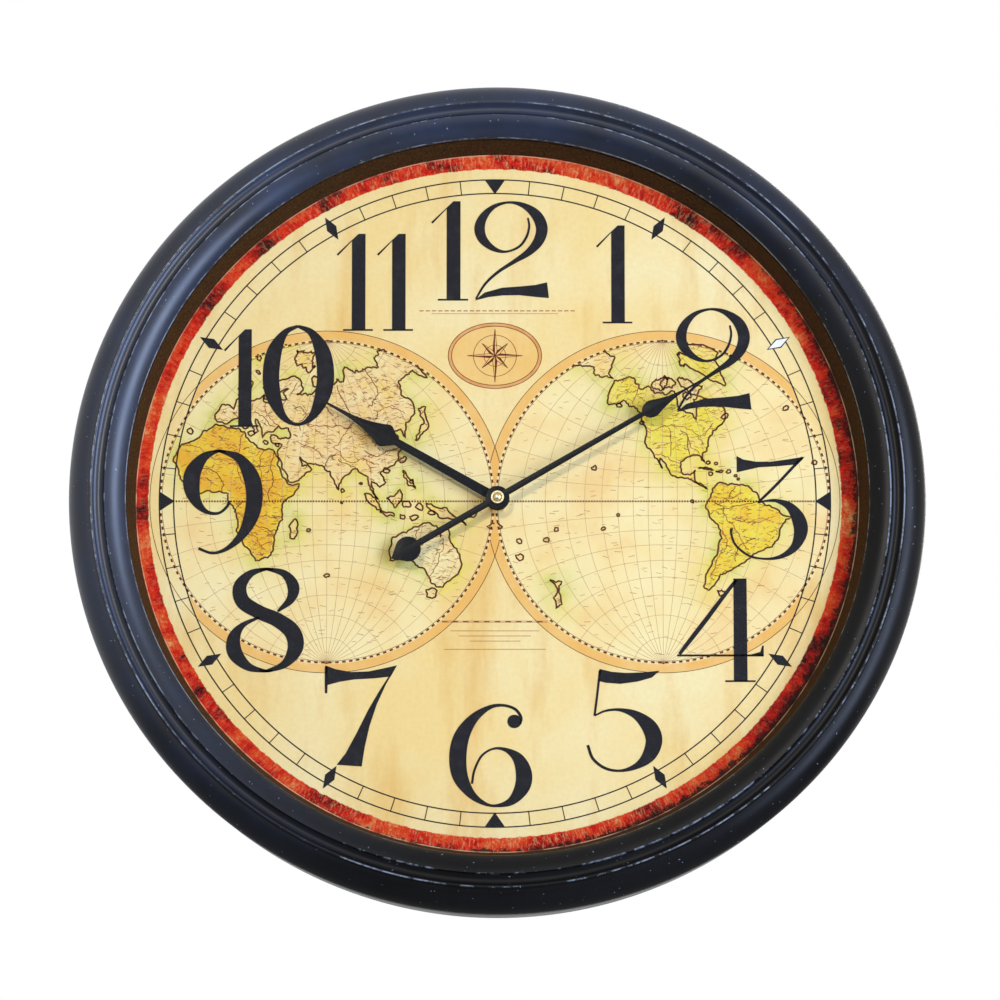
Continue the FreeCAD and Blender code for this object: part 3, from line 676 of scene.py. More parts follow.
# %% Masks of the print
# Each row is one node: a name, what it does, and the names or numbers that it does it to. RANGE spreads
# a value from one span of numbers to another. Lengths here are in metres.
rows = [
    ("shift", "RANGE", "brush", 0.3, 0.7, -0.17, 0.17), ("shifted_tint", "ADD", "shift", "tint"),
    ("red_brush", "RANGE", "brush", 0.3, 0.7, -0.2, 0.2), ("red_patch", "ADD", "red_brush", "patch"),
    ("red_edge", "RANGE", "edge", 0.3, 0.7, -0.16, 0.16), ("red_blot", "ADD", "red_edge", "red_patch"),
    ("red_grit", "RANGE", "grit", 0.3, 0.7, -0.12, 0.12), ("redness", "ADD", "red_grit", "red_blot"),
    ("waver", "RANGE", "edge", 0.3, 0.7, -0.0006, 0.0006), ("wavy", "ADD", "waver", "radius"),
    ("in_red", "RANGE", "wavy", 0.1641, 0.1645, 0.0, 1.0),
    # A green wash lies along the coasts, mostly on the sea
    ("off_shore", "RANGE", "land", 0.0, 1.0, 0.95, 0.12), ("near", "MULTIPLY", "shore", "off_shore"),
    ("patchy", "RANGE", "brush", 0.35, 0.6, 0.3, 0.95), ("washed", "MULTIPLY", "near", "patchy"),
    # The red is scratched through to the paper, most at the top and the bottom
    ("height", "ABSOLUTE", "up", 0.0), ("off_level", "RANGE", "height", 0.115, 0.165, 0.3, 1.0),
    ("scratches", "RANGE", "scratch", 0.5, 0.66, 0.0, 0.85), ("in_band", "MULTIPLY", "scratches", "in_red"),
    ("scratched", "MULTIPLY", "in_band", "off_level"),
    # Black at the red band's outer edge: partly its ragged print, partly painted shade deepest at the lower
    # right
    ("corner", "SUBTRACT", "across", "up"), ("lower_right", "MULTIPLY", "corner", 0.5),
    ("outwards", "RANGE", "radius", 0.1645, 0.1735, -0.32, 0.17), ("inward", "ADD", "outwards", "edge"),
    ("rough", "RANGE", "grit", 0.3, 0.7, -0.1, 0.1), ("bitten", "ADD", "lower_right", "inward"),
    ("eaten", "ADD", "bitten", "rough"), ("black", "RANGE", "eaten", 0.54, 0.62, 0.0, 0.94),
    ("charred", "MULTIPLY", "black", "in_red"),
    # Age, the sea, the land and its grain
    ("stained", "RANGE", "stain", 0.5, 0.72, 0.0, 0.75), ("fibrous", "RANGE", "fibre", 0.3, 0.8, 0.0, 0.14),
    ("on_sea", "MULTIPLY", "sea", 0.75), ("on_land", "MULTIPLY", "land", 0.94),
    ("grainy", "RANGE", "grain", 0.4, 0.75, 0.0, 0.3), ("land_grain", "MULTIPLY", "grainy", "land"),
    # A pale orange oval lies behind the wind rose
    ("oval", "RANGE", "from_rose", 0.98, 1.0, 1.0, 0.0),
    ("oval_wash", "RANGE", "brush", 0.3, 0.7, 0.45, 0.85),
    ("in_oval", "MULTIPLY", "oval", "oval_wash"),
    # Painted highlight: a pale broken line along the dial's edge, at the wall of the brown ring
    ("to_wall", "SUBTRACT", "from_shaft", (wall_radius - 0.35) * MM),
    ("wall_gap", "ABSOLUTE", "to_wall", 0.0),
    ("wall_line", "RANGE", "wall_gap", 0.0001, 0.0003, 1.0, 0.0),
    ("breaks", "RANGE", "brush", 0.42, 0.55, 0.15, 0.9), ("bruise", "MULTIPLY", "breaks", "wall_line"),
    ("inside_track", "RANGE", "radius", 0.1515, 0.1525, 1.0, 0.0),
    ("rim_wash", "RANGE", "brush", 0.3, 0.7, 0.6, 1.0)]
# The orange rim of each half globe stops where it meets the other half globe or the minute track
for here, there in (("from_left", "from_right"), ("from_right", "from_left")):
    rows += [
        (here + "_line", "SUBTRACT", here, (globe_radius + rim_width / 2) * MM),
        (here + "_off", "ABSOLUTE", here + "_line", 0.0),
        (here + "_beyond", "RANGE", there, (globe_radius - 0.3) * MM, globe_radius * MM, 0.0, 1.0),
        (here + "_band", "RANGE", here + "_off", 0.0019, 0.0023, 1.0, 0.0),
        (here + "_washed", "MULTIPLY", here + "_band", "rim_wash"),
        (here + "_cut", "MULTIPLY", here + "_washed", here + "_beyond"),
        (here + "_rim", "MULTIPLY", here + "_cut", "inside_track")]
for name, work, *given in rows:
    sockets = dict(enumerate(value.get(item, item) for item in given))
    if work == "RANGE":
        value[name] = add(tree, RANGE, sockets)
    else:
        value[name] = add(tree, MATH, sockets, operation=work)
print(len(rows), "masks and sums")

# %% Layers of the print
ramps = (
    ("cloud", [(0.35, "#fce8ac"), (0.6, "#fadb90")]),
    ("wash", [(0.35, "#fdecb0"), (0.5, "#fce4a2"), (0.68, "#f8d088")]),
    ("shifted_tint", [(0.08, "#fcebaa"), (0.25, "#fad894"), (0.42, "#fbd878"), (0.6, "#f0e04c"),
                      (0.78, "#f5cc30"), (0.95, "#f2b020")]),
    ("wash", [(0.4, "#c2c63a"), (0.6, "#e8d848")]),
    ("redness", [(0.24, "#2c0302"), (0.36, "#9c0c03"), (0.5, "#d41c05"), (0.66, "#de4a16"),
                 (0.84, "#e8a868")]))
aged, chart_ground, country, glow, red = [add(tree, RAMP, {"Fac": value[name]}, stops=stops)
                                          for name, stops in ramps]
# The black laid at the red band's outer edge is partly print and partly painted shade
layers = {"stained": colour("#ecb860"), "fibrous": colour("#c9a566"), "on_sea": chart_ground,
          "on_land": country, "land_grain": colour("#cf8a34"), "washed": glow, "in_oval": colour("#f3bd62"),
          "from_left_rim": colour("#f3b75c"), "from_right_rim": colour("#f3b75c"), "in_red": red,
          # The pale colour for the line at the wall of the brown ring is a painted highlight
          "scratched": colour("#e0a068"), "charred": colour("#160b08"), "bruise": colour("#d9b48c")}
ground = aged
for mask, laid in layers.items():
    ground = add(tree, MIX, {0: value[mask], 6: ground, 7: laid}, 2, data_type="RGBA")
add(tree, OUTPUT, {"Surface": add(tree, SHADER, {"Base Color": ground, "Roughness": 0.7,
                                                 "Specular IOR Level": 0.12})})
print(len(layers), "layers of print")

# %% Printed sheet
verts = [(x, y, dial_front) for x, y in zip(sheet_x, sheet_y)]
faces = [corners_of(r, s) for r in range(ring_count) for s in range(spoke_count)]
paper_back = reach("dial_paper", "back")
start = len(verts)
outer_row = ring_count * spoke_count
verts += [(*around((0, 0), r, a), paper_back) for r in (hole_radius, board_radius) for a in angles]
for s in range(spoke_count):
    t = (s + 1) % spoke_count
    faces += [(outer_row + t, outer_row + s, start + spoke_count + s, start + spoke_count + t),
              (start + t, start + s, s, t),
              (start + s, start + t, start + spoke_count + t, start + spoke_count + s)]
printed_sheet = make_object("printed_sheet", verts, faces, paper)
extra = np.zeros(2 * spoke_count)
for name, values in (("land", land), ("sea", sea), ("shore", shore), ("tint", tint)):
    layer = printed_sheet.data.attributes.new(name, "FLOAT", "POINT")
    layer.data.foreach_set("value", np.concatenate([values, extra]))
bm = bmesh.new()
bm.from_mesh(printed_sheet.data)
bmesh.ops.recalc_face_normals(bm, faces=bm.faces)
bm.to_mesh(printed_sheet.data)
bm.free()
settle(printed_sheet, "clock", "printed_paper", "dial_paper")

# %% [markdown]
# Fine printed lines are ribbons of mesh that lie a few hundredths of a millimetre over the paper, each
# ink on its own level, so that they stay crisp at any zoom. A ribbon follows points and has a half width.

# %% Inks
line_level, ink_step = dial_front + 0.03, 0.04
ink_level = line_level + 2 * ink_step
top_level = ink_level + ink_step


def ink(name, dark, light, size_mm, low, high):
    """A printing ink: matt, and slightly uneven where the paper took less of it."""
    made, tree = new_material(name)
    place = add(tree, PLACE, out="Object")
    uneven = add(tree, NOISE, {"Vector": place, "Scale": 1 / (size_mm * MM), "Detail": 5.0,
                               "Roughness": 0.65})
    shade = add(tree, RAMP, {"Fac": uneven}, stops=[(low, dark), (high, light)])
    add(tree, OUTPUT, {"Surface": add(tree, SHADER, {"Base Color": shade, "Roughness": 0.62,
                                                     "Specular IOR Level": 0.15})})
    return made


black_ink = ink("black_letterpress_ink", "#17161a", "#2c2a2e", 6.0, 0.5, 0.8)
brown_ink = ink("brown_engraving_ink", "#4a240c", "#7c4a1e", 4.0, 0.4, 0.7)
faint_ink = ink("faint_brown_engraving_ink", "#c39a66", "#d6b482", 6.0, 0.4, 0.7)
red_ink = ink("faded_red_brown_ink", "#9c4a26", "#b87446", 3.0, 0.4, 0.7)
orange_ink = ink("faded_orange_wash", "#dd9a52", "#eab070", 5.0, 0.35, 0.7)
rust_ink = ink("dark_red_brown_ink", "#5e1a0c", "#8c381c", 5.0, 0.4, 0.7)
white_ink = ink("white_bare_paper", "#f6f2e4", "#fffdf6", 5.0, 0.4, 0.7)
print("inks from", round(line_level, 2), "to", round(top_level + ink_step, 2), "mm off the wall")


def printed(x, y, level):
    """A vertex on the dial, from a place of the print in millimetres."""
    return (x + print_shift[0], y + print_shift[1], level)


def ribbon(points, half, verts, faces, level, closed=False):
    """Add a flat ribbon along points to lists of vertices and faces; half is one number or a list."""
    count = len(points)
    halves = half if isinstance(half, list) else [half] * count
    start = len(verts)
    for i, (x, y) in enumerate(points):
        ax, ay = points[(i - 1) % count] if closed or i else points[0]
        bx, by = points[(i + 1) % count] if closed or i < count - 1 else points[-1]
        length = math.hypot(bx - ax, by - ay) or 1.0
        nx, ny = -(by - ay) / length, (bx - ax) / length
        verts.append(printed(x + nx * halves[i], y + ny * halves[i], level))
        verts.append(printed(x - nx * halves[i], y - ny * halves[i], level))
    for i in range(count if closed else count - 1):
        a, b = start + 2 * i, start + 2 * ((i + 1) % count)
        faces.append((a + 1, b + 1, b, a))


def printed_lines(name, lines, finish, level):
    """One piece from many ribbons: (points, half width, closed)."""
    verts, faces = [], []
    for points, half, closed in lines:
        ribbon(points, half, verts, faces, level, closed)
    settle(make_object(name, verts, faces, finish), "clock", "printed_paper")


def circle(radius, centre=(0, 0), steps=180):
    """Points round a circle."""
    return [around(centre, radius, TURN * i / steps) for i in range(steps)]

# %% The chart's lines
dash_length, dash_pitch = 0.8, 1.3
graticule, equators = [], []
for globe, (middle, centre) in globes.items():
    for step in range(-80, 81, 10):
        meridian = [(middle + step, lat) for lat in range(-90, 91, 3)]
        parallel = [(middle + lon, step) for lon in range(-90, 91, 3)]
        for line in (meridian, parallel) if step else (meridian,):
            graticule += [(s, 0.1, False) for s in drawn(line, globe)]
    x = centre[0] - globe_radius
    dashes = [x + dash_pitch * i for i in range(int(2 * globe_radius / dash_pitch))]
    equators += [([(a, centre[1]), (a + dash_length, centre[1])], 0.42, False) for a in dashes
                 if a + dash_length < centre[0] + globe_radius - 1]
printed_lines("graticule", graticule, faint_ink, line_level)
printed_lines("equator_dashes", equators, rust_ink, line_level + ink_step)
printed_lines("coastlines", [(s, 0.42, False) for s in coast_lines], brown_ink, line_level + ink_step)
printed_lines("river_lines", [(s, 0.17, False) for s in river_lines], brown_ink, line_level + ink_step)
printed_lines("border_lines", [(s, 0.15, False) for s in border_lines], red_ink, ink_level)
rims = []
for side in (-1, 1):
    centre, other = (side * globe_radius, 0), (-side * globe_radius, 0)
    rims.append((circle(globe_radius - 1.3, centre), 0.1, True))
    # The outer line stops where it meets the other half globe
    start = math.pi if side == 1 else 0.0
    outer_line = [around(centre, globe_radius + rim_width, start + TURN * i / 360) for i in range(361)]
    rims.append(([spot for spot in outer_line if math.dist(spot, other) > globe_radius], 0.14, False))
printed_lines("globe_rims", rims, brown_ink, line_level + ink_step)

# %% [markdown]
# Over the middle an oval ring holds a wind rose: four long and four short points, each one dark on one
# side and open on the other. Below the middle stands a plain scale bar, and thin rules keep them company.

# %% Wind rose and rules
long_point, short_point, point_foot = 13.2, 8.6, 2.7
verts, faces, rose_lines = [], [], []
for k in range(8):
    ahead = TURN * k / 8
    tip = around(rose_middle, short_point if k % 2 else long_point, ahead)
    right, left = [around(rose_middle, point_foot, ahead + way * TURN / 16) for way in (-1, 1)]
    rose_lines += [([rose_middle, side, tip], 0.12, False) for side in (right, left)]
    faces.append(range(len(verts), len(verts) + 3))
    verts += [printed(*spot, ink_level) for spot in (rose_middle, tip, left)]
settle(make_object("wind_rose_points", verts, faces, rust_ink), "clock", "printed_paper")
rose_lines += [(circle(r, rose_middle, 90), 0.12, True) for r in (5.2, 10.2)]
outer_oval, inner_oval, band_oval = [
    [(rose_middle[0] + (oval_half[0] - inset) * math.cos(TURN * i / 120),
      rose_middle[1] + (oval_half[1] - inset) * math.sin(TURN * i / 120)) for i in range(120)]
    for inset in (0.0, 1.6, 0.8)]
rose_lines += [(oval, 0.16, True) for oval in (outer_oval, inner_oval)]
printed_lines("wind_rose_lines", rose_lines, rust_ink, line_level + ink_step)
printed_lines("oval_band", [(band_oval, 0.65, True)], orange_ink, line_level)
# Dashed rules: where they start, dash, pitch, number, height and half thickness
dashed = ((-36, 2.0, 3.0, 25, 94.0, 0.22), (-25, 2.5, 5.0, 10, -59.0, 0.3))
rules = [([(x + pitch * i, y), (x + pitch * i + dash, y)], half, False)
         for x, dash, pitch, count, y, half in dashed for i in range(count)]
# Plain rules: half their length, height and half thickness
rules += [([(-reach_x, y), (reach_x, y)], half, False) for reach_x, y, half in (
    (30, 92.6, 0.1), (25, -59.3, 0.1), (25, -58.7, 0.1), (21, -63.5, 0.12), (17, -66.0, 0.12),
    (12, -68.5, 0.12), (24, -72.5, 0.12))]
printed_lines("rules_and_scale_bar", rules, red_ink, line_level + ink_step)

# %% [markdown]
# What repeats round a circle, such as the dashes of the half globes, the minute marks, and the diamonds
# and triangles at the hours, is one Geometry Nodes tree: a circle of points carries copies of a small
# mark, each turned outwards. The object's own mesh is the mark, and named inputs give count, radius,
# centre and level.

# %% Marks round a circle
def geometry_tree(name, inputs):
    """A new Geometry Nodes tree with named inputs, and the socket that each of them comes in by."""
    tree = bpy.data.node_groups.new(name, "GeometryNodeTree")
    for item, kind in {"Geometry": "NodeSocketGeometry", **inputs}.items():
        tree.interface.new_socket(item, in_out="INPUT", socket_type=kind)
    tree.interface.new_socket("Geometry", in_out="OUTPUT", socket_type="NodeSocketGeometry")
    return tree, {item: add(tree, "NodeGroupInput", out=item) for item in ("Geometry", *inputs)}


def grown(name, verts, faces, tree, values):
    """One printed piece: what a tree makes of a small mesh, with values for its named inputs."""
    mesh = bpy.data.meshes.new(name)
    mesh.from_pydata(verts, [], faces)
    made = linked(name, mesh)
    modifier = made.modifiers.new(name, "NODES")
    modifier.node_group = tree
    inputs = {item.name: item.identifier for item in tree.interface.items_tree if item.in_out == "INPUT"}
    for item, given in values.items():
        modifier[inputs[item]] = given
    made.data = evaluated(made)
    made.data.transform(STAND)
    settle(made, "clock", "printed_paper")


def marks_tree(finish):
    """A tree that sets copies of its own geometry round a circle on the dial."""
    tree, given = geometry_tree("marks_round_a_circle", {
        "Count": "NodeSocketInt", "Radius": "NodeSocketFloat", "First Angle": "NodeSocketFloat",
        "Centre": "NodeSocketVector"})
    ring = add(tree, "GeometryNodeMeshCircle", {"Vertices": given["Count"], "Radius": given["Radius"]})
    turned = add(tree, "ShaderNodeCombineXYZ", {"Z": given["First Angle"]})
    ring = add(tree, "GeometryNodeTransform", {"Geometry": ring, "Rotation": turned})
    spot = add(tree, "GeometryNodeInputPosition")
    outwards = add(tree, "FunctionNodeAlignRotationToVector", {"Vector": spot}, axis="X", pivot_axis="Z")
    copies = add(tree, "GeometryNodeInstanceOnPoints", {"Points": ring, "Instance": given["Geometry"],
                                                        "Rotation": outwards})
    moved = add(tree, "GeometryNodeTransform", {"Geometry": copies, "Translation": given["Centre"]})
    real = add(tree, "GeometryNodeRealizeInstances", {"Geometry": moved})
    inked = add(tree, "GeometryNodeSetMaterial", {"Geometry": real, "Material": finish})
    add(tree, "NodeGroupOutput", {"Geometry": inked})
    return tree


def marks_round(name, mark, finish, count, radius, first_angle, centre, level):
    """One printed piece made of copies of a flat mark, drawn in millimetres with x outwards."""
    grown(name, [(x, y, 0) for x, y in mark], [range(len(mark))], marks_tree(finish), {
        "Count": count, "Radius": radius, "First Angle": first_angle, "Centre": printed(*centre, level)})


def bar(long, wide):
    """A mark like a short bar that points outwards, from half its length and half its width."""
    return [(-long, -wide), (long, -wide), (long, wide), (-long, wide)]


for globe, (middle, centre) in globes.items():
    marks_round("rim_dashes_" + globe, bar(0.44, 0.8), rust_ink, 150, globe_radius - 0.6, 0, centre,
                ink_level)
track = [(circle(radius, steps=360), 0.3, True) for radius in (track_inner, track_outer)]
printed_lines("minute_track", track, black_ink, ink_level)
track_middle, track_half = (track_inner + track_outer) / 2, (track_outer - track_inner) / 2
marks_round("minute_marks", bar(track_half, 0.22), black_ink, 60, track_middle, 0, (0, 0), ink_level)
diamond = [(-6.4, 0), (0, -2.5), (6.4, 0), (0, 2.5)]
triangle = [(-track_half - 0.4, 0), (track_half + 0.2, -5.0), (track_half + 0.2, 5.0)]
marks_round("quarter_triangles", triangle, black_ink, 4, track_middle, 0, (0, 0), top_level)
for first, name in ((30, "one"), (60, "two")):
    marks_round("hour_diamonds_" + name, diamond, black_ink, 4, track_middle, math.radians(first), (0, 0),
                top_level)
# The one at two shows only as an outline: a smaller pale diamond lies on it
turn = math.radians(30)
inner = [(track_middle + x * 0.84, y * 0.76) for x, y in diamond]
inner = [printed(x * math.cos(turn) - y * math.sin(turn), x * math.sin(turn) + y * math.cos(turn),
                 top_level + ink_step) for x, y in inner]
settle(make_object("pale_diamond", inner, [(0, 1, 2, 3)], white_ink), "clock", "printed_paper")

# %% [markdown]
# Engraved charts are full of fine strokes: hills on the land, and soundings and currents on the sea. Here
# a Geometry Nodes tree sows short strokes over the cells of the sheet that are land, or sea, with a fixed
# seed. The object's own mesh is those cells, and named inputs give density, length, width and turn.

# %% Sown strokes
def sown_tree(finish):
    """A tree that sows short flat strokes over its own geometry."""
    tree, given = geometry_tree("sown_strokes", {
        name: "NodeSocketFloat" for name in ("Density", "Length", "Width", "Turn")})
    spots = add(tree, "GeometryNodeDistributePointsOnFaces", {"Mesh": given["Geometry"],
                                                              "Density": given["Density"], "Seed": 5})
    stroke = add(tree, "GeometryNodeMeshGrid", {"Size X": given["Length"], "Size Y": given["Width"],
                                                "Vertices X": 2, "Vertices Y": 2})
    back_turn = add(tree, MATH, {0: given["Turn"], 1: -1.0}, operation="MULTIPLY")
    turn = add(tree, "FunctionNodeRandomValue", {2: back_turn, 3: given["Turn"], "Seed": 7}, 1,
               data_type="FLOAT")
    size = add(tree, "FunctionNodeRandomValue", {2: 0.5, 3: 1.3, "Seed": 9}, 1, data_type="FLOAT")
    turned = add(tree, "ShaderNodeCombineXYZ", {"Z": turn})
    copies = add(tree, "GeometryNodeInstanceOnPoints", {"Points": spots, "Instance": stroke, "Scale": size,
                                                        "Rotation": turned})
    real = add(tree, "GeometryNodeRealizeInstances", {"Geometry": copies})
    inked = add(tree, "GeometryNodeSetMaterial", {"Geometry": real, "Material": finish})
    add(tree, "NodeGroupOutput", {"Geometry": inked})
    return tree


def sown(name, marked, finish, level, density, length, width, turn):
    """One printed piece of short strokes sown over the sheet's cells whose corners are all marked."""
    sheet = [(x, y, level) for x, y in zip(sheet_x, sheet_y)]
    cells = [corners_of(r, s) for r in range(ring_count) for s in range(spoke_count)
             if radii[r + 1] < track_inner - 1.5 and all(marked[i] for i in corners_of(r, s))]
    grown(name, sheet, cells, sown_tree(finish), {"Density": density, "Length": length, "Width": width,
                                                  "Turn": turn})


dry = land > 0
wet = (sea > 0) & ~dry
sown("hill_strokes", dry, brown_ink, line_level + ink_step, 0.1, 1.5, 0.16, 1.4)
sown("valley_strokes", dry, red_ink, ink_level, 0.2, 2.2, 0.17, 0.6)
sown("sounding_strokes", wet, red_ink, line_level + ink_step, 0.022, 2.4, 0.16, 0.35)

# %% [markdown]
# The numerals are upright modern-face figures: heavy stems beside hairlines, with flat serifs. Each
# figure is a few pen strokes, given as points with a half thickness that swells and thins, and smoothed
# by a curve through the points. Straight parts are plain polygons. The units are those of the sketch, y down.

# %% Figures as pen strokes
figures = {
    "1": ((62, 30, 188, 376), [],
        [[(62, 103), (138, 30), (162, 30), (162, 372), (115, 372), (115, 56), (67, 108)],
         [(85, 370), (188, 370), (188, 376), (85, 376)]]),
    "2": ((145, 32, 387, 380),
        [[(319, 90, 3), (323, 122, 3.5), (313, 160, 4), (288, 193, 4), (245, 209, 4), (205, 197, 9),
         (172, 165, 15), (162, 125, 17), (176, 84, 13), (210, 50, 7), (258, 36, 4), (305, 47, 9),
         (346, 80, 17), (364, 125, 19), (354, 170, 17), (322, 210, 12), (275, 243, 7), (222, 280, 5),
         (180, 322, 4), (150, 374, 3)]],
        [[(146, 380), (178, 352), (235, 335), (300, 330), (345, 325), (381, 316), (387, 371), (350, 368),
         (290, 361), (235, 362), (190, 368)]]),
    "3": ((1296, 22, 1570, 392),
        [[(1554, 27, 5), (1516, 66, 5), (1480, 105, 5), (1438, 148, 5), (1396, 188, 4)],
         [(1396, 188, 3), (1430, 181, 4), (1465, 182, 7), (1508, 202, 15), (1538, 245, 24), (1546, 292, 24),
         (1525, 345, 15), (1480, 378, 8), (1425, 388, 4), (1365, 377, 4), (1318, 340, 4), (1302, 300, 4),
         (1303, 279, 5)]],
        [[(1322, 22), (1345, 34), (1390, 42), (1440, 42), (1500, 34), (1562, 24), (1530, 52), (1470, 58),
         (1400, 62), (1322, 80)]]),
    "4": ((42, 450, 347, 811),
        [[(252, 455, 6), (200, 522, 7), (150, 588, 8), (100, 652, 8), (52, 714, 6)]],
        [[(242, 450), (288, 450), (290, 808), (242, 808)],
         [(44, 715), (345, 715), (345, 722), (44, 722)],
         [(212, 805), (318, 805), (318, 811), (212, 811)],
         [(300, 716), (335, 706), (342, 684), (347, 684), (347, 722)]]),
    "5": ((462, 450, 726, 806),
        [[(509, 455, 4), (503, 510, 4), (497, 560, 4), (490, 612, 4)],
         [(490, 612, 3), (530, 595, 4), (580, 592, 6), (635, 610, 15), (680, 650, 27), (697, 697, 29),
         (680, 748, 24), (640, 784, 12), (585, 802, 5), (530, 795, 5), (485, 762, 5), (466, 714, 5)]],
        [[(508, 450), (550, 460), (600, 464), (660, 462), (718, 456), (690, 480), (640, 494), (580, 502),
         (530, 498), (504, 492)]]),
    "6": ((895, 450, 1180, 806),
        [[(1141, 520, 3), (1143, 495, 5), (1122, 467, 5), (1080, 454, 5), (1032, 462, 8), (978, 500, 17),
         (938, 560, 27), (924, 630, 30), (932, 700, 27), (966, 757, 16), (1008, 790, 8), (1052, 802, 5),
         (1108, 787, 14), (1146, 740, 26), (1153, 690, 28), (1134, 640, 20), (1094, 610, 8),
         (1050, 604, 4), (1008, 628, 4), (982, 678, 4), (973, 726, 4)],
         [(1096, 510, 4), (1100, 510, 14), (1108, 510, 21), (1120, 510, 24), (1132, 510, 21),
         (1140, 510, 14), (1144, 510, 4)]], []),
    "7": ((1298, 455, 1550, 806),
        [[(1303, 460, 5), (1303, 490, 5), (1303, 520, 5), (1303, 552, 4)]],
        [[(1300, 455), (1335, 468), (1390, 478), (1450, 476), (1500, 466), (1550, 455), (1528, 494),
         (1470, 500), (1400, 504), (1350, 512), (1305, 524)],
         [(1550, 455), (1512, 520), (1480, 590), (1455, 665), (1438, 740), (1428, 806), (1341, 800),
         (1372, 760), (1410, 690), (1450, 610), (1488, 545), (1522, 492)]]),
    "8": ((60, 866, 332, 1232),
        [[(224, 874, 4), (200, 872, 5), (145, 888, 13), (108, 932, 23), (118, 985, 26), (175, 1022, 25),
         (240, 1050, 26), (292, 1092, 29), (302, 1148, 27), (265, 1203, 14), (200, 1227, 5), (178, 1224, 4)],
         [(224, 1225, 4), (200, 1227, 5), (138, 1212, 15), (92, 1165, 26), (88, 1112, 22), (118, 1068, 10),
         (176, 1040, 4)],
         [(178, 875, 4), (200, 872, 5), (262, 888, 13), (294, 932, 21), (285, 978, 15), (240, 1020, 4)]], []),
    "9": ((487, 867, 764, 1234),
        [[(590, 874, 4), (612, 872, 5), (680, 897, 16), (722, 960, 28), (735, 1030, 29), (724, 1100, 26),
         (692, 1165, 16), (642, 1212, 8), (590, 1229, 5), (540, 1213, 5)],
         [(634, 875, 4), (606, 873, 5), (558, 893, 16), (520, 945, 28), (515, 1000, 28), (532, 1050, 18),
         (566, 1084, 8), (608, 1090, 5), (638, 1068, 5), (648, 1046, 5)]], []),
    "0": ((988, 870, 1240, 1228),
        [[(1112, 876, 5), (1066, 900, 12), (1030, 965, 26), (1018, 1050, 29), (1028, 1125, 26),
         (1062, 1195, 13), (1112, 1222, 5), (1162, 1195, 13), (1198, 1125, 27), (1210, 1050, 30),
         (1198, 965, 27), (1160, 900, 13), (1112, 876, 5)]], []),
}
# Each hour's figures: figure, then left, top, right and bottom on the sketch of the dial, in its own units
sketch_centre, sketch_scale = (490.7, 501.3), (0.4736, 0.4910)
hours = [
    ("1", 426.5, 199, 463.7, 299.5), ("2", 470, 199, 545, 299.5), ("1", 592.5, 223.5, 628.7, 322.5),
    ("2", 672.5, 307, 748, 412), ("3", 725.5, 456, 803.5, 560), ("4", 672, 578.5, 759, 681.5),
    ("5", 582, 668.5, 657.5, 770.5), ("6", 445.5, 703.5, 527.3, 805.3), ("7", 321, 665, 393, 765.3),
    ("8", 222.3, 567.3, 300, 672), ("9", 179, 449.5, 258.3, 554.5), ("1", 218.5, 328.5, 253.7, 426.7),
    ("0", 257.3, 323.5, 329.3, 426), ("1", 331.4, 232, 368, 330), ("1", 372, 232, 408.3, 330)]


def smooth_through(points, steps=8):
    """A smooth line through points with any number of values each (Catmull-Rom)."""
    rows = [np.array(p, float) for p in points]
    rows = [2 * rows[0] - rows[1]] + rows + [2 * rows[-1] - rows[-2]]
    out = []
    for a, b, c, d in zip(rows, rows[1:], rows[2:], rows[3:]):
        for i in range(steps):
            t = i / steps
            out.append(0.5 * (2 * b + (c - a) * t + (2 * a - 5 * b + 4 * c - d) * t**2
                              + (3 * b - a - 3 * c + d) * t**3))
    return out + [rows[-2]]


# %% Numerals
thinnest = 1.5
verts, faces = [], []
for figure, left, top, right, bottom in hours:
    (u0, v0, u1, v1), strokes, shapes = figures[figure]

    def placed(u, v):
        """A sketch point of this figure on the dial."""
        px = left + (u - u0) * (right - left) / (u1 - u0)
        py = top + (v - v0) * (bottom - top) / (v1 - v0)
        return ((px - sketch_centre[0]) * sketch_scale[0], -(py - sketch_centre[1]) * sketch_scale[1])

    thickness = sketch_scale[0] * (right - left) / (u1 - u0)
    for stroke in strokes:
        line = smooth_through(stroke)
        halves = [max(w, thinnest) * thickness for u, v, w in line]
        ribbon([placed(u, v) for u, v, w in line], halves, verts, faces, top_level)
    for shape in shapes:
        faces.append(range(len(verts), len(verts) + len(shape)))
        verts += [printed(*placed(u, v), top_level) for u, v in shape]
numerals = make_object("numerals", verts, faces, black_ink)
bm = bmesh.new()
bm.from_mesh(numerals.data)
bmesh.ops.triangulate(bm, faces=[f for f in bm.faces if len(f.verts) > 4])
for face in bm.faces:
    if face.normal.y > 0:
        face.normal_flip()
bm.to_mesh(numerals.data)
bm.free()
settle(numerals, "clock", "printed_paper")

# %% [markdown]
# The hands are stamped from thin sheet and painted satin black, with a small bevel that catches light. A
# flat curve gives each its outline, and the curve's own bevel rounds the edges inside that outline.

# %% Hand paint
hand_paint, tree = new_material("satin_black_enamel_on_stamped_aluminium")
# Orange-peel of the sprayed enamel, about 1.5 mm, drawn coarser than the real 0.5 mm so that it shows
peel = add(tree, NOISE, {"Vector": add(tree, PLACE, out="Object"), "Scale": 660.0, "Detail": 3.0})
shade = add(tree, RAMP, {"Fac": peel}, stops=[(0.35, "#0b0b0d"), (0.65, "#131316")])
gloss = add(tree, RANGE, {"Value": peel, 1: 0.3, 2: 0.7, 3: 0.36, 4: 0.46})
bump = add(tree, BUMP, {"Height": peel, "Strength": 0.1, "Distance": 0.0001})
add(tree, OUTPUT, {"Surface": add(tree, SHADER, {"Base Color": shade, "Roughness": gloss, "Normal": bump,
                                                 "Specular IOR Level": 0.12})})
print(hand_paint.name, "has", len(tree.nodes), "nodes")

# %% Hands
bevel, hand_thickness = 0.18, 0.6


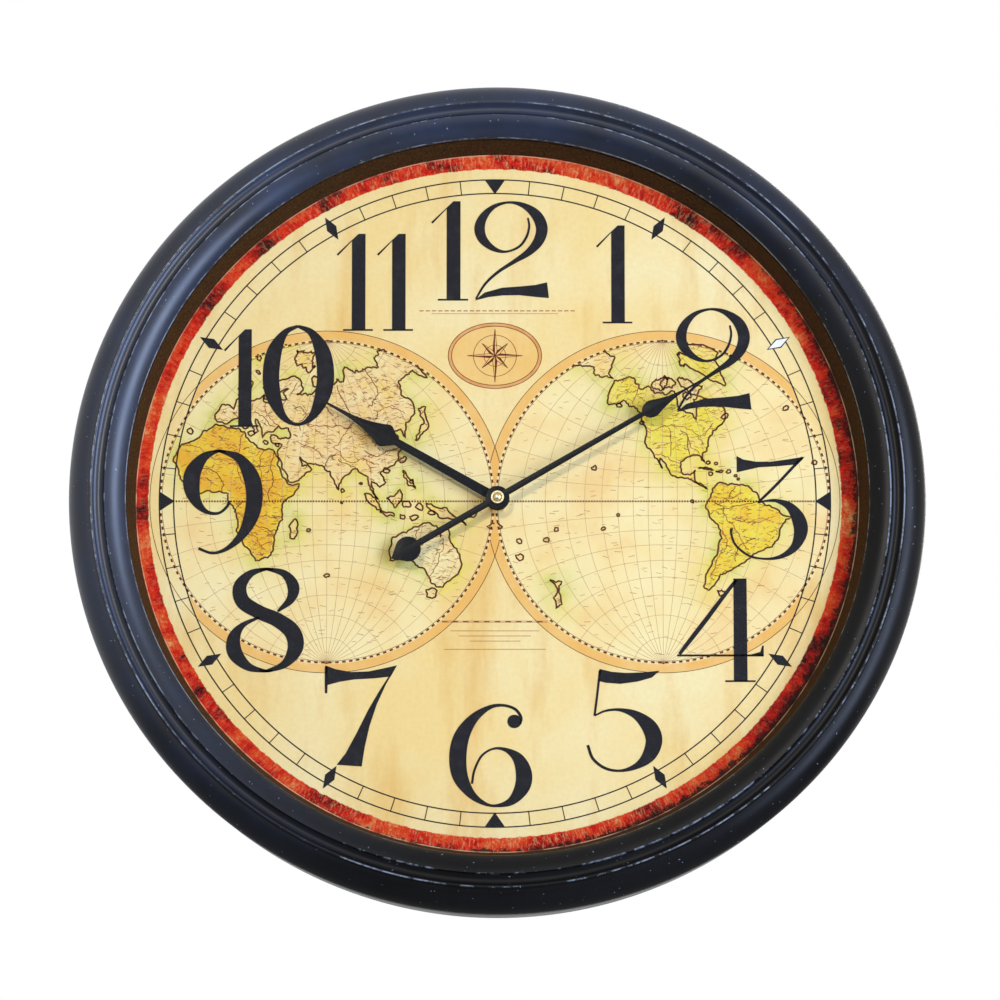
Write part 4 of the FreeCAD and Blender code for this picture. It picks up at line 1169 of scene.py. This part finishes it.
def hand(name, outline, high, clock_angle, node):
    """A bevelled plate from an outline drawn along x, turned to a clock angle, in place of a node."""
    data = bpy.data.curves.new(name, "CURVE")
    data.dimensions = "2D"
    data.fill_mode = "BOTH"
    low = high - hand_thickness
    data.extrude = (high - low) / 2 - bevel
    data.bevel_depth = bevel
    data.bevel_resolution = 2
    data.offset = -bevel
    spline = data.splines.new("POLY")
    spline.points.add(len(outline) - 1)
    for point, (x, y) in zip(spline.points, outline):
        point.co = (x, y, 0, 1)
    spline.use_cyclic_u = True
    flat = linked(name, data)
    bpy.context.view_layer.update()
    mesh = evaluated(flat)
    bpy.data.objects.remove(flat)
    mesh.transform(STAND @ Matrix.Translation((0, 0, (low + high) / 2))
                   @ Matrix.Rotation(math.radians(90 - clock_angle), 4, "Z"))
    mesh.materials.clear()
    mesh.materials.append(hand_paint)
    made = linked(name, mesh)
    face_outwards(made)
    settle(made, node, "black_hands", node)


def both_sides(half):
    """A closed outline from the points of its upper side, mirrored in the x axis."""
    return half + [(x, -y) for x, y in reversed(half) if abs(y) > 0.001]


hub_radius = 5.7
hour_length, hour_spade, hour_shaft = 99.0, 5.7, 2.35
minute_length, minute_leaf, minute_shaft = 127.0, 4.1, 1.6
tail_reach, tail_radius, tail_point = 49.3, 6.1, 9.2
minute_high = -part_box("minute_hand")[0][1] / MM
hour_high = -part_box("hour_hand")[0][1] / MM
hour_angle, minute_angle = 300.2, 59.2


def hub_arc(first, last, steps=16):
    """Points round the hub between two directions in degrees."""
    return [around((0, 0), hub_radius, math.radians(first + (last - first) * i / steps))
            for i in range(steps + 1)]


def shares(length, half, table):
    """Points on a hand from shares of its length and half width."""
    return [(x * length, y * half) for x, y in table]


start, barb, end, hollow, needle, tip = shares(hour_length, hour_spade, (
    (0.604, 0.86), (0.618, 1.0), (0.641, 0.93), (0.727, 0.44), (0.85, 0.16), (1.0, 0.05)))
neck = shares(hour_length, hour_shaft, [(0.56, 0.78)])[0]
edge = math.degrees(math.asin(hour_shaft / hub_radius))
half = hub_arc(180, edge) + [neck] + arc_points(start, barb, end, 6)
half += arc_points(end, hollow, needle, 14) + [needle, tip]
hand("hour_hand_enamelled", both_sides(half), hour_high, hour_angle, "hour_hand")

swell, widest, hollow, needle, tip = shares(minute_length, minute_leaf, (
    (0.652, 0.86), (0.681, 1.0), (0.736, 0.47), (0.82, 0.12), (1.0, 0.08)))
neck = shares(minute_length, minute_shaft, [(0.634, 0.75)])[0]
edge = math.degrees(math.asin(minute_shaft / hub_radius))
edge_tail = math.degrees(math.asin(minute_shaft / tail_radius))
# The round of the tail begins beside the tail's point, 138 degrees from the hand's direction
tail_first, tail_steps = 138, 20
tail_arc = [around((-tail_reach, 0), tail_radius,
                   math.radians(tail_first - i * (tail_first - edge_tail) / tail_steps))
            for i in range(tail_steps + 1)]
half = [(-tail_reach - tail_point, 0)] + tail_arc + hub_arc(180 - edge, edge)
half += arc_points(neck, swell, widest, 10) + arc_points(widest, hollow, needle, 14) + [needle, tip]
hand("minute_hand_enamelled", both_sides(half), minute_high, minute_angle, "minute_hand")

# %% [markdown]
# The hub: the small domed nut that holds the minute hand is turned brass, polished, with a fine turned
# ring. It is a metal, so its colour is its reflection, and its roughness stays low.

# %% Brass and the cap nut
brass, tree = new_material("polished_turned_brass")
# Tarnish in spots about 1 mm across
tarnish = add(tree, NOISE, {"Vector": add(tree, PLACE, out="Object"), "Scale": 900.0, "Detail": 3.0})
shade = add(tree, RAMP, {"Fac": tarnish}, stops=[(0.35, "#cdb988"), (0.65, "#efe4c2")])
gloss = add(tree, RANGE, {"Value": tarnish, 3: 0.16, 4: 0.3})
add(tree, OUTPUT, {"Surface": add(tree, SHADER, {"Base Color": shade, "Roughness": gloss, "Metallic": 1.0})})
nut_radius = 3.15
nut_top = -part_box("cap_nut")[0][1] / MM
# The flange and its turned groove: how far in from the edge, and how far over the minute hand
flange = [(nut_radius - inward, minute_high + over) for inward, over in (
    (0, 0), (0, 0.85), (0.15, 1.0), (0.7, 1.0), (0.8, 0.92), (0.9, 1.0))]
dome = arc_points(flange[-1], (nut_radius * 0.5, minute_high + 1.75), (0, nut_top), 12)
profile = [(0, minute_high)] + flange + dome[1:] + [(0, nut_top)]
cap_nut = revolve("cap_nut_domed", profile, 96, brass)
settle(cap_nut, "minute_hand", "brass", "cap_nut")

# %% [markdown]
# The glass is a flat pane with almost no tint. A real pane of clear glass shows what is behind it when it
# is seen from the front, and whitens only at a slant. So its alpha is nearly nothing where it faces the eye
# and grows with Layer Weight, which also lets the lamps reach the dial.

# %% Glass
tree = new_material("clear_float_glass")[1]
# Slow waves of the sheet, about 80 mm long
wave = add(tree, NOISE, {"Vector": add(tree, PLACE, out="Object"), "Scale": 12.0})
gloss = add(tree, RANGE, {"Value": wave, 3: 0.01, 4: 0.04})
grazing = add(tree, "ShaderNodeLayerWeight", {"Blend": 0.5}, "Facing")
veil = add(tree, RANGE, {"Value": grazing, 1: 0.14, 2: 1.0, 3: 0.002, 4: 0.4})
add(tree, OUTPUT, {"Surface": add(tree, SHADER, {"Base Color": colour("#b9c4c2"), "Roughness": gloss,
                                                 "IOR": 1.5, "Alpha": veil})})
print("clear_float_glass has", len(tree.nodes), "nodes")

# %% [markdown]
# What is left is plain workshop stuff: brown board round the dial, raw fibreboard behind it, black and
# natural moulded plastic, and zinc-plated steel. Each is a base colour, a grain of the right size and a
# little relief, so one table holds them and one loop makes them.

# %% Board, plastics and steel
# Dark and light tone, grain in mm, least and greatest roughness, metallic, relief, its depth in mm, shine
stock = {
    "brown_painted_board": ("#2f1a04", "#4a3008", 1.2, 0.75, 0.85, 0.0, 0.25, 0.2, 0.15),
    "raw_fibreboard": ("#a07a50", "#bd9668", 1.6, 0.85, 0.95, 0.0, 0.3, 0.15, 0.3),
    "black_abs_fine_spark_texture": ("#1b1b1d", "#252527", 0.5, 0.45, 0.6, 0.0, 0.25, 0.08, 0.5),
    "natural_acetal": ("#dedcd4", "#e8e6de", 1.5, 0.35, 0.45, 0.0, 0.1, 0.05, 0.5),
    "zinc_plated_steel": ("#a9adb2", "#c6c9cc", 2.5, 0.28, 0.42, 1.0, 0.1, 0.03, 0.5),
    "graphite_cell_jacket": ("#2b3444", "#36415a", 5.0, 0.25, 0.32, 0.6, 0.05, 0.02, 0.5),
}
for name, (dark, light, size_mm, smooth, rough, metal, strength, depth_mm, shine) in stock.items():
    tree = new_material(name)[1]
    place = add(tree, PLACE, out="Object")
    grain = add(tree, NOISE, {"Vector": place, "Scale": 1 / (size_mm * MM), "Detail": 4.0})
    relief = add(tree, BUMP, {"Height": grain, "Strength": strength, "Distance": depth_mm * MM})
    spread = add(tree, RANGE, {"Value": grain, 1: 0.3, 2: 0.7, 3: smooth, 4: rough})
    shade = add(tree, RAMP, {"Fac": grain}, stops=[(0.35, dark), (0.65, light)])
    add(tree, OUTPUT, {"Surface": add(tree, SHADER, {
        "Base Color": shade, "Roughness": spread, "Metallic": metal, "Normal": relief,
        "Specular IOR Level": shine})})

worn_by = {
    "zinc_plated_steel": ["board_tabs", "hanger_plate", "hanger_screws", "contact_positive",
                          "contact_negative"],
    "black_abs_fine_spark_texture": ["movement_case", "movement_cover"],
    "natural_acetal": ["hour_wheel", "reverse_wheel", "setting_knob", "setting_gear"],
    "graphite_cell_jacket": ["battery"], "brown_painted_board": ["spacer_ring"],
    "raw_fibreboard": ["dial_board"], "polished_turned_brass": ["hex_nut", "minute_arbor"],
    "clear_float_glass": ["glass_pane"],
}
for finish, names in worn_by.items():
    for name in names:
        nodes[name].data.materials.clear()
        nodes[name].data.materials.append(bpy.data.materials[finish])
    print(finish, "on", len(names))
